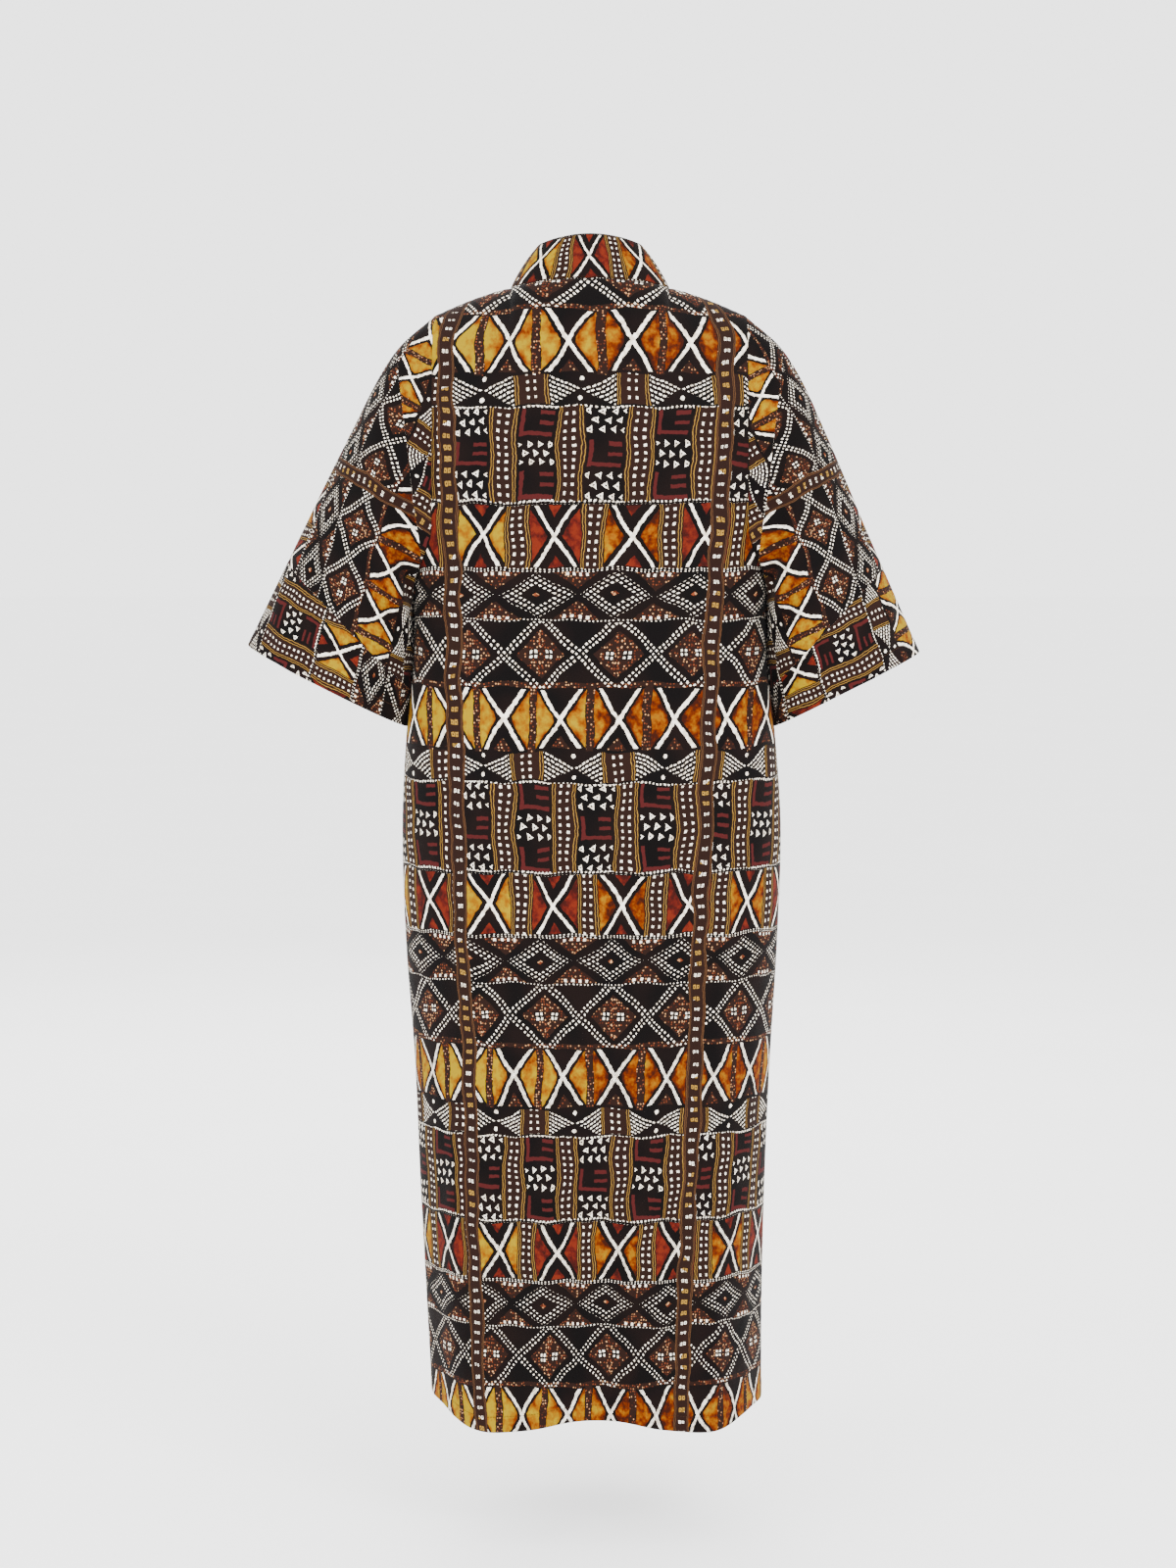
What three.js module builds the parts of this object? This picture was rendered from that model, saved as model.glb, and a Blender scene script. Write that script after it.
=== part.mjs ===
// A long kimono-cut robe in printed cotton, in the hollow shape of a worn one, with its sleeves
// lowered. Units are millimetres, +Z is up and the front faces -Y. The origin is the middle of the
// neck opening, at the height of the two points where shoulder seam and neckband meet.
import * as THREE from "three";

// Cloth
const CLOTH = 1.8; // wall of one layer
const BAND_CLOTH = 3; // wall of the folded neckband
const SEAM_GAP = 0.3; // clear space between two pieces at a seam
const SHARED_TURN = 0.2; // cosine of the widest angle at which two edges share a normal

// Body
const UNDERARM_Z = -332;
const HEM_Z = -1352;
const BODY_SQUARE = 2.3; // exponent of the body's rounded section; 2 is an ellipse
// Sections below the underarm: half width, sway of the middle to the robe's own left, and depth of
// back and front.
const SECTIONS = [
  { z: HEM_Z, half: 202, sway: -8, back: 146, front: 146 },
  { z: -1230, half: 205, sway: -5, back: 146, front: 149 },
  { z: -1080, half: 210, sway: -3, back: 146, front: 152 },
  { z: -930, half: 216, sway: -3, back: 147, front: 157 },
  { z: -790, half: 225, sway: -2, back: 147, front: 162 },
  { z: -650, half: 229, sway: -2, back: 142, front: 166 },
  { z: -540, half: 223, sway: -1, back: 133, front: 166 },
  { z: -440, half: 213, sway: 0, back: 128, front: 161 },
  { z: UNDERARM_Z, half: 214, sway: 0, back: 128, front: 156 },
];
// The back's hem hangs lower in two places; a drop is gone by HEM_DROP_TOP.
const HEM_DROPS = [
  { at: 0.4, width: 0.34, drop: 10 },
  { at: -0.4, width: 0.34, drop: 10 },
];
const HEM_DROP_TOP = -1000;

// Shoulder, neck and armhole
const ARMHOLE_X = 188; // half the back's width between the armhole seams
const SHOULDER_Y = -4; // the shoulder seam lies this far in front of the middle plane
const SHOULDER_DROP = 34; // fall of the shoulder seam from neck point to armhole
const SHOULDER_BEND = 1.35; // above 1 the seam falls faster towards the armhole
const NECK_X = 95; // half the width of the neck opening
const NECK_BACK_Y = 64; // depth of the back neckline behind the neck points
const NECK_BACK_Z = 9; // its rise above them
const NECK_ROUND = 2.3;
const ARMPIT_SHARE = 0.16; // share of the armhole's height that its lower curve takes

// How a column rolls over from the chest or the back to the shoulder: see rollOver.
const ROLL = {
  shoulder: { fullness: 2.6, roundness: 2 },
  nape: { fullness: 2.6, roundness: 1.5 },
  collarbone: { fullness: 1.7, roundness: 1.2 },
};

// Front edge, where the neckband is sewn on, and the neckband's free edge
const FRONT_EDGE = [
  { z: HEM_Z, seamX: 92, freeX: 32 },
  { z: -900, seamX: 90, freeX: 30 },
  { z: -520, seamX: 86, freeX: 26 },
  { z: -400, seamX: 84, freeX: 24 },
  { z: UNDERARM_Z, seamX: 84, freeX: 24 },
];
const BAND_WIDTH = 60;
// The way the neckband points from its seam, at the neck point and at the centre back.
const NECK_LEAN = { x: -0.6, y: -0.06, z: 0.8 };
const NAPE_LEAN = { y: -0.42, z: 0.907 };
const STAND_FROM = 0.3; // share of the yoke's height at which the neckband begins to stand up
const BAND_BULGE = 2.5; // the standing band curves outwards this far between its edges

// Sleeves. Each row is a ring of the sleeve: its highest and lowest point and its half depth.
const SLEEVE_RINGS = [
  { along: 0, topX: 188, topZ: -34, lowX: 214, lowZ: -332, depth: 80 },
  { along: 0.1, topX: 226, topZ: -66, lowX: 227, lowZ: -348, depth: 84 },
  { along: 0.2, topX: 252, topZ: -103, lowX: 231, lowZ: -370, depth: 86 },
  { along: 0.35, topX: 284, topZ: -165, lowX: 231, lowZ: -402, depth: 86 },
  { along: 0.5, topX: 315, topZ: -226, lowX: 230, lowZ: -432, depth: 84 },
  { along: 0.65, topX: 345, topZ: -287, lowX: 230, lowZ: -461, depth: 80 },
  { along: 0.8, topX: 374, topZ: -346, lowX: 230, lowZ: -489, depth: 76 },
  { along: 1, topX: 413, topZ: -426, lowX: 230, lowZ: -524, depth: 71 },
];
const ARMHOLE_FADE = 0.3; // share of the sleeve over which its ring turns from armhole to oval
const SLEEVE_SWING = { left: 0, right: -2.2 }; // degrees each sleeve is turned outwards

// Folds: soft troughs, depth under zero, and ridges. On the body, at is the place across a panel
// from 0, the middle plane, to 1, the side seam, and width is in the same measure.
const BACK_FOLDS = [
  { at: 0, width: 0.2, depth: -17, topZ: -820, bottomZ: HEM_Z },
  { at: 0.42, width: 0.17, depth: 8, topZ: -760, bottomZ: HEM_Z },
  { at: -0.46, width: 0.17, depth: 8, topZ: -700, bottomZ: HEM_Z },
  { at: 0.72, width: 0.12, depth: -9, topZ: -560, bottomZ: HEM_Z },
  { at: -0.75, width: 0.12, depth: -8, topZ: -600, bottomZ: HEM_Z },
];
const FRONT_FOLDS = [
  { at: 0.5, width: 0.13, depth: -12, topZ: -420, bottomZ: HEM_Z },
  { at: 0.74, width: 0.12, depth: 9, topZ: -480, bottomZ: HEM_Z },
  { at: -0.54, width: 0.13, depth: -11, topZ: -460, bottomZ: HEM_Z },
  { at: -0.78, width: 0.12, depth: 8, topZ: -440, bottomZ: HEM_Z },
];
// On a sleeve, at is the place along it, reach is how far up from the underarm line the fold runs.
const SLEEVE_FOLDS = [
  { at: 0.24, width: 0.09, depth: -11, reach: 0.62 },
  { at: 0.5, width: 0.1, depth: -12, reach: 0.72 },
  { at: 0.77, width: 0.1, depth: -9, reach: 0.66 },
  { at: 0.37, width: 0.08, depth: 7, reach: 0.55 },
  { at: 0.64, width: 0.08, depth: 7, reach: 0.6 },
];

// Grid steps
const SKIRT_ROWS = 20; // hem to underarm
const YOKE_ROWS = 12; // underarm to shoulder
const NECK_COLUMNS = 6; // half the back neck
const SHOULDER_COLUMNS = 7; // one shoulder seam
const SLEEVE_STEPS = 15;
const BAND_STEPS = 3; // across the neckband

const COLOURS = {
  body: 0x2a1a16,
  sleeve: 0x2c1b17,
  band: 0x33201a,
};

const lerp = THREE.MathUtils.lerp;
const smooth = (x) => THREE.MathUtils.smoothstep(x, 0, 1);
const signedPower = (value, power) => Math.sign(value) * Math.abs(value) ** power;

// The value of a table's column at a key, on a smooth curve through its rows.
function readTable(table, key, column, at) {
  const last = table.length - 1;
  const rising = table[last][key] > table[0][key];
  let i = 0;
  while (i < last - 1 && (rising ? at > table[i + 1][key] : at < table[i + 1][key])) i += 1;
  const slope = (k) => {
    const a = table[Math.max(k - 1, 0)];
    const b = table[Math.min(k + 1, last)];
    return (b[column] - a[column]) / (b[key] - a[key]);
  };
  const span = table[i + 1][key] - table[i][key];
  const t = THREE.MathUtils.clamp((at - table[i][key]) / span, 0, 1);
  const t2 = t * t;
  const t3 = t2 * t;
  return (
    (2 * t3 - 3 * t2 + 1) * table[i][column] +
    (t3 - 2 * t2 + t) * span * slope(i) +
    (3 * t2 - 2 * t3) * table[i + 1][column] +
    (t3 - t2) * span * slope(i + 1)
  );
}

// A soft bump of height 1 at its middle that fades to nothing a width away.
function bump(distance, width) {
  const share = Math.abs(distance) / width;
  return share >= 1 ? 0 : (1 + Math.cos(Math.PI * share)) / 2;
}

// The angle round the body's section at which it is x from the middle plane.
function turnAt(x, half) {
  return Math.asin(Math.min(x / half, 1) ** (BODY_SQUARE / 2));
}

// The panels' rows from hem to shoulder. Rise is 0 up to the underarm and 1 at the shoulder.
function bodyRow(index) {
  const z = lerp(HEM_Z, UNDERARM_Z, Math.min(index / SKIRT_ROWS, 1));
  const step = Math.max(index - SKIRT_ROWS, 0) / YOKE_ROWS;
  const rise = (1 - Math.cos(Math.PI * step)) / 2;
  const half = readTable(SECTIONS, "z", "half", z);
  const armpit = Math.sqrt(1 - (1 - Math.min(rise / ARMPIT_SHARE, 1)) ** 2);
  return {
    z,
    rise,
    half,
    sway: readTable(SECTIONS, "z", "sway", z),
    back: readTable(SECTIONS, "z", "back", z),
    front: readTable(SECTIONS, "z", "front", z),
    sideTurn: lerp(Math.PI / 2, turnAt(ARMHOLE_X, half), armpit),
  };
}
const ROWS = Array.from({ length: SKIRT_ROWS + YOKE_ROWS + 1 }, (_, i) => bodyRow(i));
const SHOULDER_ROW = ROWS[ROWS.length - 1];

// Where a column ends: on the shoulder seam, or on the back neckline inside the neck points.
function shoulderPoint(x) {
  const share = Math.max(Math.abs(x) - NECK_X, 0) / (ARMHOLE_X - NECK_X);
  const y = SHOULDER_Y * smooth(share * 3);
  return new THREE.Vector3(x, y, -SHOULDER_DROP * share ** SHOULDER_BEND);
}
function napePoint(x) {
  const share = Math.min(Math.abs(x) / NECK_X, 1);
  const y = NECK_BACK_Y * (1 - share ** NECK_ROUND) ** (1 / NECK_ROUND);
  return new THREE.Vector3(x, y, NECK_BACK_Z * (1 - share * share));
}

// From 1 on the chest or back to 0 at the shoulder, as a column rolls over.
function rollOver(rise, { fullness, roundness }) {
  return Math.max(1 - rise ** fullness, 0) ** (1 / roundness);
}
function mixRolls(a, b, share) {
  return {
    fullness: lerp(a.fullness, b.fullness, share),
    roundness: lerp(a.roundness, b.roundness, share),
  };
}

// How far the folds push the body's surface out at a place across and at a height.
function foldDepth(folds, at, z) {
  return folds.reduce((sum, fold) => {
    const grown = smooth((fold.topZ - z) / (fold.topZ - fold.bottomZ));
    return sum + fold.depth * grown * bump(at - fold.at, fold.width);
  }, 0);
}

// How far the back's hem hangs down at a place across and at a height.
function hemDrop(at, z) {
  const grown = smooth((HEM_DROP_TOP - z) / (HEM_DROP_TOP - HEM_Z));
  return HEM_DROPS.reduce((sum, wave) => sum + wave.drop * grown * bump(at - wave.at, wave.width), 0);
}

// A point of the body at an angle round its section, in a column that ends at top.
function bodyPoint(face, row, turn, top, roll, folds) {
  const depth = face > 0 ? row.back : row.front;
  const at = turn / (Math.PI / 2);
  const pushed = foldDepth(folds, at, row.z);
  const across = signedPower(Math.sin(turn), 2 / BODY_SQUARE);
  const away = Math.max(Math.cos(turn), 0) ** (2 / BODY_SQUARE);
  const ring = new THREE.Vector3(
    row.sway + (row.half + pushed * Math.abs(across)) * across,
    face * (depth + pushed) * away,
    row.z - (face > 0 ? hemDrop(at, row.z) : 0),
  );
  if (row.rise === 0) return ring;
  ring.y = top.y + (ring.y - top.y) * rollOver(row.rise, roll);
  ring.z = lerp(UNDERARM_Z, top.z, row.rise);
  return ring;
}

// The back, column by column from its right side seam to the left.
function backGrid() {
  const neckTurn = turnAt(NECK_X, SHOULDER_ROW.half);
  const shares = [];
  for (let i = -NECK_COLUMNS - SHOULDER_COLUMNS; i <= NECK_COLUMNS + SHOULDER_COLUMNS; i += 1) {
    const steps = Math.abs(i);
    const neckShare = neckTurn / SHOULDER_ROW.sideTurn;
    const share =
      steps <= NECK_COLUMNS
        ? (neckShare * steps) / NECK_COLUMNS
        : lerp(neckShare, 1, (steps - NECK_COLUMNS) / SHOULDER_COLUMNS);
    shares.push(Math.sign(i) * share);
  }
  return ROWS.map((row) =>
    shares.map((share) => {
      const x =
        SHOULDER_ROW.half * signedPower(Math.sin(share * SHOULDER_ROW.sideTurn), 2 / BODY_SQUARE);
      const inNeck = Math.abs(x) < NECK_X - 1e-6;
      const top = inNeck ? napePoint(x) : shoulderPoint(x);
      const roll = mixRolls(ROLL.nape, ROLL.shoulder, smooth(Math.abs(x) / NECK_X));
      return bodyPoint(1, row, share * row.sideTurn, top, roll, BACK_FOLDS);
    }),
  );
}

// The turn of the front edge in each row, where the neckband is sewn on.
function frontEdgeTurn(row) {
  if (row.rise === 0) return turnAt(readTable(FRONT_EDGE, "z", "seamX", row.z), row.half);
  const x = lerp(FRONT_EDGE[FRONT_EDGE.length - 1].seamX, NECK_X, smooth(row.rise));
  return turnAt(x, row.half);
}

// A front, column by column from its front edge to the side seam, for side 1, left, or -1.
function frontGrid(side) {
  return ROWS.map((row) =>
    Array.from({ length: SHOULDER_COLUMNS + 1 }, (_, i) => {
      const share = i / SHOULDER_COLUMNS;
      const topTurn = lerp(frontEdgeTurn(SHOULDER_ROW), SHOULDER_ROW.sideTurn, share);
      const topX = SHOULDER_ROW.half * Math.sin(topTurn) ** (2 / BODY_SQUARE);
      const roll = mixRolls(ROLL.collarbone, ROLL.shoulder, smooth(share * 1.4));
      const turn = lerp(frontEdgeTurn(row), row.sideTurn, share);
      const top = shoulderPoint(side * topX);
      return bodyPoint(-1, row, side * turn, top, roll, FRONT_FOLDS);
    }),
  );
}

// The armhole seam as a closed loop: from the shoulder down the back and up the front.
function armholeLoop(side, back, front) {
  const yoke = [];
  for (let row = ROWS.length - 1; row >= SKIRT_ROWS; row -= 1) yoke.push(row);
  const backEdge = yoke.map((row) => back[row][side > 0 ? back[row].length - 1 : 0]);
  const frontEdge = yoke.map((row) => front[row][SHOULDER_COLUMNS]).reverse();
  return [...backEdge, ...frontEdge.slice(1, -1)];
}

// How far the sleeve's folds push its surface out, at a place along and up from the underarm.
function sleeveFoldDepth(along, up) {
  return SLEEVE_FOLDS.reduce((sum, fold) => {
    const grown = smooth(1 - up / fold.reach) * smooth(up * 7);
    return sum + fold.depth * grown * bump(along - fold.at, fold.width);
  }, 0);
}

// A sleeve: rings from the armhole to the cuff, each closed on itself.
function sleeveGrid(side, loop) {
  const swing = THREE.MathUtils.degToRad(SLEEVE_SWING[side > 0 ? "left" : "right"]);
  const first = SLEEVE_RINGS[0];
  const rings = [];
  for (let step = 0; step <= SLEEVE_STEPS; step += 1) {
    const along = step / SLEEVE_STEPS;
    const read = (column) => readTable(SLEEVE_RINGS, "along", column, along);
    const top = new THREE.Vector3(read("topX"), 0, read("topZ"));
    const low = new THREE.Vector3(read("lowX"), 0, read("lowZ"));
    const armholeShare = 1 - smooth(along / ARMHOLE_FADE);
    const lift = swing * smooth(along * 1.5);
    rings.push(
      loop.map((seam, k) => {
        const angle = (2 * Math.PI * k) / loop.length;
        const up = (1 + Math.cos(angle)) / 2;
        // The armhole's own departure from the straight line between its ends
        const straightX = lerp(first.lowX, first.topX, up);
        const oval = lerp(low.x, top.x, up);
        const seamX = Math.abs(seam.x) - straightX;
        const seamZ = seam.z - lerp(first.lowZ, first.topZ, up);
        const depth = read("depth") * Math.sin(angle);
        const folded = sleeveFoldDepth(along, up);
        const point = new THREE.Vector3(
          oval + seamX * armholeShare,
          lerp(depth + Math.sign(depth) * folded, seam.y, armholeShare),
          lerp(low.z, top.z, up) + seamZ * armholeShare,
        );
        const pivot = new THREE.Vector3(first.topX, 0, first.topZ);
        point.sub(pivot).applyAxisAngle(new THREE.Vector3(0, -1, 0), lift * up).add(pivot);
        point.x *= side;
        return point;
      }),
    );
  }
  return rings;
}

// One row across the neckband, from its seam to its free edge.
function bandRow(seam, lean) {
  const across = lean.clone().normalize();
  return Array.from({ length: BAND_STEPS + 1 }, (_, i) =>
    seam.clone().addScaledVector(across, (BAND_WIDTH * i) / BAND_STEPS),
  );
}

// The neckband along one front, from the hem to the neck point.
function frontBandGrid(side, front) {
  return ROWS.map((row, index) => {
    const seam = front[index][0];
    if (row.rise === 0) {
      const seamTurn = frontEdgeTurn(row);
      const freeTurn = turnAt(readTable(FRONT_EDGE, "z", "freeX", row.z), row.half);
      return Array.from({ length: BAND_STEPS + 1 }, (_, i) => {
        const turn = side * lerp(seamTurn, freeTurn, i / BAND_STEPS);
        return bodyPoint(-1, row, turn, seam, ROLL.shoulder, FRONT_FOLDS);
      });
    }
    const freeTurn = turnAt(Math.abs(seam.x) - BAND_WIDTH, row.half);
    const laid = bodyPoint(-1, row, side * freeTurn, shoulderPoint(seam.x), ROLL.collarbone, []);
    const flat = laid.sub(seam).normalize();
    const standing = new THREE.Vector3(side * NECK_LEAN.x, NECK_LEAN.y, NECK_LEAN.z);
    return bandRow(seam, flat.lerp(standing, smooth((row.rise - STAND_FROM) / (1 - STAND_FROM))));
  });
}

// The standing neckband behind the neck, from the right neck point to the left.
function backBandGrid(back) {
  const middle = (back[0].length - 1) / 2;
  const neck = back[ROWS.length - 1].slice(middle - NECK_COLUMNS, middle + NECK_COLUMNS + 1);
  return neck.map((seam) => {
    const aside = THREE.MathUtils.clamp(seam.x / NECK_X, -1, 1);
    const away = Math.sqrt(1 - aside * aside);
    const lean = new THREE.Vector3(
      NECK_LEAN.x * aside,
      lerp(NECK_LEAN.y, NAPE_LEAN.y, away),
      lerp(NECK_LEAN.z, NAPE_LEAN.z, away),
    );
    return bandRow(seam, lean);
  });
}

// Bows the middle of a standing band outwards.
function bowBand(grid, normals, amount) {
  grid.forEach((row, j) =>
    row.forEach((point, i) => {
      const share = i / BAND_STEPS;
      point.addScaledVector(normals[j][i], BAND_BULGE * 4 * share * (1 - share) * amount(j));
    }),
  );
}

// Outward normals of a grid. A closed grid joins its last column to its first.
function gridNormals({ grid, closed, flipped }) {
  const rows = grid.length;
  const columns = grid[0].length;
  const normals = grid.map((row) => row.map(() => new THREE.Vector3()));
  const lastColumn = closed ? columns : columns - 1;
  for (let j = 0; j < rows - 1; j += 1) {
    for (let i = 0; i < lastColumn; i += 1) {
      const next = (i + 1) % columns;
      const up = new THREE.Vector3().subVectors(grid[j + 1][next], grid[j][i]);
      const across = new THREE.Vector3().subVectors(grid[j][next], grid[j + 1][i]);
      const face = across.cross(up).multiplyScalar(flipped ? -1 : 1);
      [normals[j][i], normals[j][next], normals[j + 1][i], normals[j + 1][next]].forEach((n) =>
        n.add(face),
      );
    }
  }
  normals.forEach((row) => row.forEach((n) => n.normalize()));
  return normals;
}

// Pieces that meet at a seam turn their edges to the same normal, so that the gap stays even.
function shareSeamNormals(pieces) {
  const places = new Map();
  const keyOf = (p) => [p.x, p.y, p.z].map((v) => Math.round(v * 20)).join();
  const edgePoints = (piece, visit) =>
    piece.grid.forEach((row, j) =>
      row.forEach((point, i) => {
        const endRow = j === 0 || j === piece.grid.length - 1;
        const endColumn = !piece.closed && (i === 0 || i === row.length - 1);
        if (endRow || endColumn) visit(point, piece.normals[j][i]);
      }),
    );
  const shared = [];
  pieces.forEach((piece) =>
    edgePoints(piece, (point, normal) => {
      const key = keyOf(point);
      if (!places.has(key)) places.set(key, []);
      const groups = places.get(key);
      let sum = groups.find((group) => group.clone().normalize().dot(normal) > SHARED_TURN);
      if (!sum) {
        sum = new THREE.Vector3();
        groups.push(sum);
      }
      sum.add(normal);
      shared.push({ normal, sum });
    }),
  );
  shared.forEach(({ normal, sum }) => normal.copy(sum).normalize());
}

// Draws an edge back into its piece by half a seam gap.
function trimEdges({ grid, closed }) {
  const last = grid.length - 1;
  const pull = (point, inner) =>
    point.addScaledVector(inner.clone().sub(point).normalize(), SEAM_GAP / 2);
  const copy = grid.map((row) => row.map((p) => p.clone()));
  copy[0].forEach((p, i) => pull(p, grid[1][i]));
  copy[last].forEach((p, i) => pull(p, grid[last - 1][i]));
  if (closed) return copy;
  copy.forEach((row, j) => {
    pull(row[0], grid[j][1]);
    pull(row[row.length - 1], grid[j][row.length - 2]);
  });
  return copy;
}

// A closed wall: the grid's outer surface, an inner one a wall away, and the edges between.
function wallGeometry(piece) {
  const { closed, flipped, wall, normals } = piece;
  const outer = trimEdges(piece);
  const rows = outer.length;
  const columns = outer[0].length;
  const positions = [];
  outer.forEach((row) => row.forEach((p) => positions.push(p.x, p.y, p.z)));
  outer.forEach((row, j) =>
    row.forEach((p, i) => {
      const q = p.clone().addScaledVector(normals[j][i], -wall);
      positions.push(q.x, q.y, q.z);
    }),
  );
  const outerAt = (j, i) => j * columns + (i % columns);
  const innerAt = (j, i) => rows * columns + outerAt(j, i);
  const index = [];
  const cornerAt = (k) => new THREE.Vector3().fromArray(positions, 3 * k);
  const between = (a, b) => cornerAt(a).distanceTo(cornerAt(b));
  // Each quad is split along its shorter diagonal, so two pieces at a seam are split alike.
  const quad = (a, b, c, d) => {
    const corners = between(a, c) <= between(b, d) ? [a, b, c, a, c, d] : [a, b, d, b, c, d];
    index.push(...(flipped ? corners.reverse() : corners));
  };
  const lastColumn = closed ? columns : columns - 1;
  for (let j = 0; j < rows - 1; j += 1) {
    for (let i = 0; i < lastColumn; i += 1) {
      quad(outerAt(j, i), outerAt(j, i + 1), outerAt(j + 1, i + 1), outerAt(j + 1, i));
      quad(innerAt(j, i), innerAt(j + 1, i), innerAt(j + 1, i + 1), innerAt(j, i + 1));
    }
  }
  for (let i = 0; i < lastColumn; i += 1) {
    quad(innerAt(0, i), innerAt(0, i + 1), outerAt(0, i + 1), outerAt(0, i));
    const top = rows - 1;
    quad(outerAt(top, i), outerAt(top, i + 1), innerAt(top, i + 1), innerAt(top, i));
  }
  if (!closed) {
    for (let j = 0; j < rows - 1; j += 1) {
      quad(innerAt(j, 0), outerAt(j, 0), outerAt(j + 1, 0), innerAt(j + 1, 0));
      const side = columns - 1;
      quad(outerAt(j, side), innerAt(j, side), innerAt(j + 1, side), outerAt(j + 1, side));
    }
  }
  const geometry = new THREE.BufferGeometry();
  geometry.setAttribute("position", new THREE.Float32BufferAttribute(positions, 3));
  geometry.setIndex(index);
  return geometry;
}

const back = backGrid();
const fronts = { left: frontGrid(1), right: frontGrid(-1) };
const pieces = [
  { name: "back", colour: COLOURS.body, wall: CLOTH, grid: back, flipped: true },
  { name: "front_left", colour: COLOURS.body, wall: CLOTH, grid: fronts.left, flipped: false },
  { name: "front_right", colour: COLOURS.body, wall: CLOTH, grid: fronts.right, flipped: true },
];
for (const [name, side] of [
  ["left", 1],
  ["right", -1],
]) {
  pieces.push({
    name: "sleeve_" + name,
    colour: COLOURS.sleeve,
    wall: CLOTH,
    grid: sleeveGrid(side, armholeLoop(side, back, fronts[name])),
    closed: true,
    flipped: side > 0,
  });
  pieces.push({
    name: "band_" + name,
    colour: COLOURS.band,
    wall: BAND_CLOTH,
    grid: frontBandGrid(side, fronts[name]),
    flipped: side > 0,
    bow: (j) => smooth(ROWS[j].rise),
  });
}
pieces.push({
  name: "band_back",
  colour: COLOURS.band,
  wall: BAND_CLOTH,
  grid: backBandGrid(back),
  flipped: false,
  bow: () => 1,
});

const findNormals = () => {
  for (const piece of pieces) piece.normals = gridNormals(piece);
  shareSeamNormals(pieces);
};
findNormals();
for (const piece of pieces) if (piece.bow) bowBand(piece.grid, piece.normals, piece.bow);
findNormals();

const robe = new THREE.Group();
robe.name = "robe";
for (const piece of pieces) {
  const material = new THREE.MeshStandardMaterial({
    color: piece.colour,
    roughness: 0.85,
    metalness: 0,
  });
  const mesh = new THREE.Mesh(wallGeometry(piece), material);
  mesh.name = piece.name;
  robe.add(mesh);
}
export default robe;
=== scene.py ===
"""A long kimono-cut robe in printed cotton, in the shape that it keeps when it is worn.

Lengths are in metres and lie in the shared frame: +Z up, the front towards -Y, the robe's own left
towards +X, and the origin in the middle of the neck opening. Lengths of the printed pattern alone
are in millimetres of cloth, as a printer would state them.
"""

import itertools
import logging
import math
from collections.abc import Iterable, Sequence
from dataclasses import dataclass, field
from enum import Enum

import bpy
import numpy as np
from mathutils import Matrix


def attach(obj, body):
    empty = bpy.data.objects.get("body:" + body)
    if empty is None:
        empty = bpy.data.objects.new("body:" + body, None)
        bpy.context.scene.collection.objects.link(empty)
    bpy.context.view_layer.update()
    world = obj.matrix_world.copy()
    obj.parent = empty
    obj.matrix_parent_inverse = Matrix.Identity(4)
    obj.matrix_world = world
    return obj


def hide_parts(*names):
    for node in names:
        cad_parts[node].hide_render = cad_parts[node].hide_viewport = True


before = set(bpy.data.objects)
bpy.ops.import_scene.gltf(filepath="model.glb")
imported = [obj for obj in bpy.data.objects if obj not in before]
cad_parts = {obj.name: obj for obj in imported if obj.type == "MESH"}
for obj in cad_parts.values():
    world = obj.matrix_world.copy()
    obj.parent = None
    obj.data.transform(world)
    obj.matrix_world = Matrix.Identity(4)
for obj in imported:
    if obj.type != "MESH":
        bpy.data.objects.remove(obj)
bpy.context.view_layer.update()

log = logging.getLogger("robe")

MM = 0.001
ROBE_MIDDLE = (0.0, 0.0, -0.7)

# The body, from the hem to the underarm line, with the yoke above it
HEM_Z = -1.352
UNDERARM_Z = -0.332
SQUARENESS = 2.3  # exponent of the body's rounded section
ARMHOLE_X = 0.188  # place of the armhole seams at the shoulders
ARMPIT_SHARE = 0.16  # share of the yoke's height over which the side runs in to the armhole
SHOULDER_Y = -0.004  # place of the shoulder seams away from the neck
SHOULDER_DROP = 0.034  # fall of a shoulder seam from the neck to the armhole
SHOULDER_BEND = 1.35  # exponent of that fall
NECK_X = 0.095  # half the width of the neck opening
NECK_BACK_Y = 0.064  # how far back the neckline reaches
NECK_BACK_Z = 0.009  # height of the nape above the neck points
CORNER_COLUMNS = 12  # columns over which the neckline's corners are softened
# Fullness and roundness of the roll over to the shoulder seam, the nape and the collarbone
ROLL_SHOULDER = (2.6, 2.0)
ROLL_NAPE = (2.6, 1.5)
ROLL_COLLARBONE = (1.7, 1.2)
# Each drop of the hem: its place across as in Fold, its width, and how far it falls
HEM_DROPS = (
    (0.4, 0.34, 0.010),
    (-0.4, 0.34, 0.010),
    (0.0, 0.26, -0.005),
    (1.0, 0.55, -0.014),
    (-1.0, 0.5, -0.006),
)
HEM_DROP_TOP = -1.0  # height at which the drops start
ARMHOLE_FADE = 0.3  # share of a sleeve's length over which it leaves the armhole's curve

# The neckband
BAND_WIDTH = 0.06
BAND_BULGE = 0.0025  # how far it bows across its width
BAND_STAND_FROM = 0.3  # share of the yoke's height from which it turns up to stand
NECK_LEAN = np.array([-0.53, -0.06, 0.846])  # its direction at the left neck point
NAPE_LEAN_Y, NAPE_LEAN_Z = -0.42, 0.907  # its direction at the nape

# The cloth
LAYER = 0.9 * MM  # thickness of one layer
BAND_LAYER = 2.4 * MM  # the neckband is folded double over an interlining
TURN_UP = 20 * MM  # height of the hem's turn-up
HEM_STITCH_IN = 2 * MM  # distance of the stitches from the turn-up's inner edge
BAND_STITCH_IN = 2.2 * MM  # distance of the neckband's stitches from its seam

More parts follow.
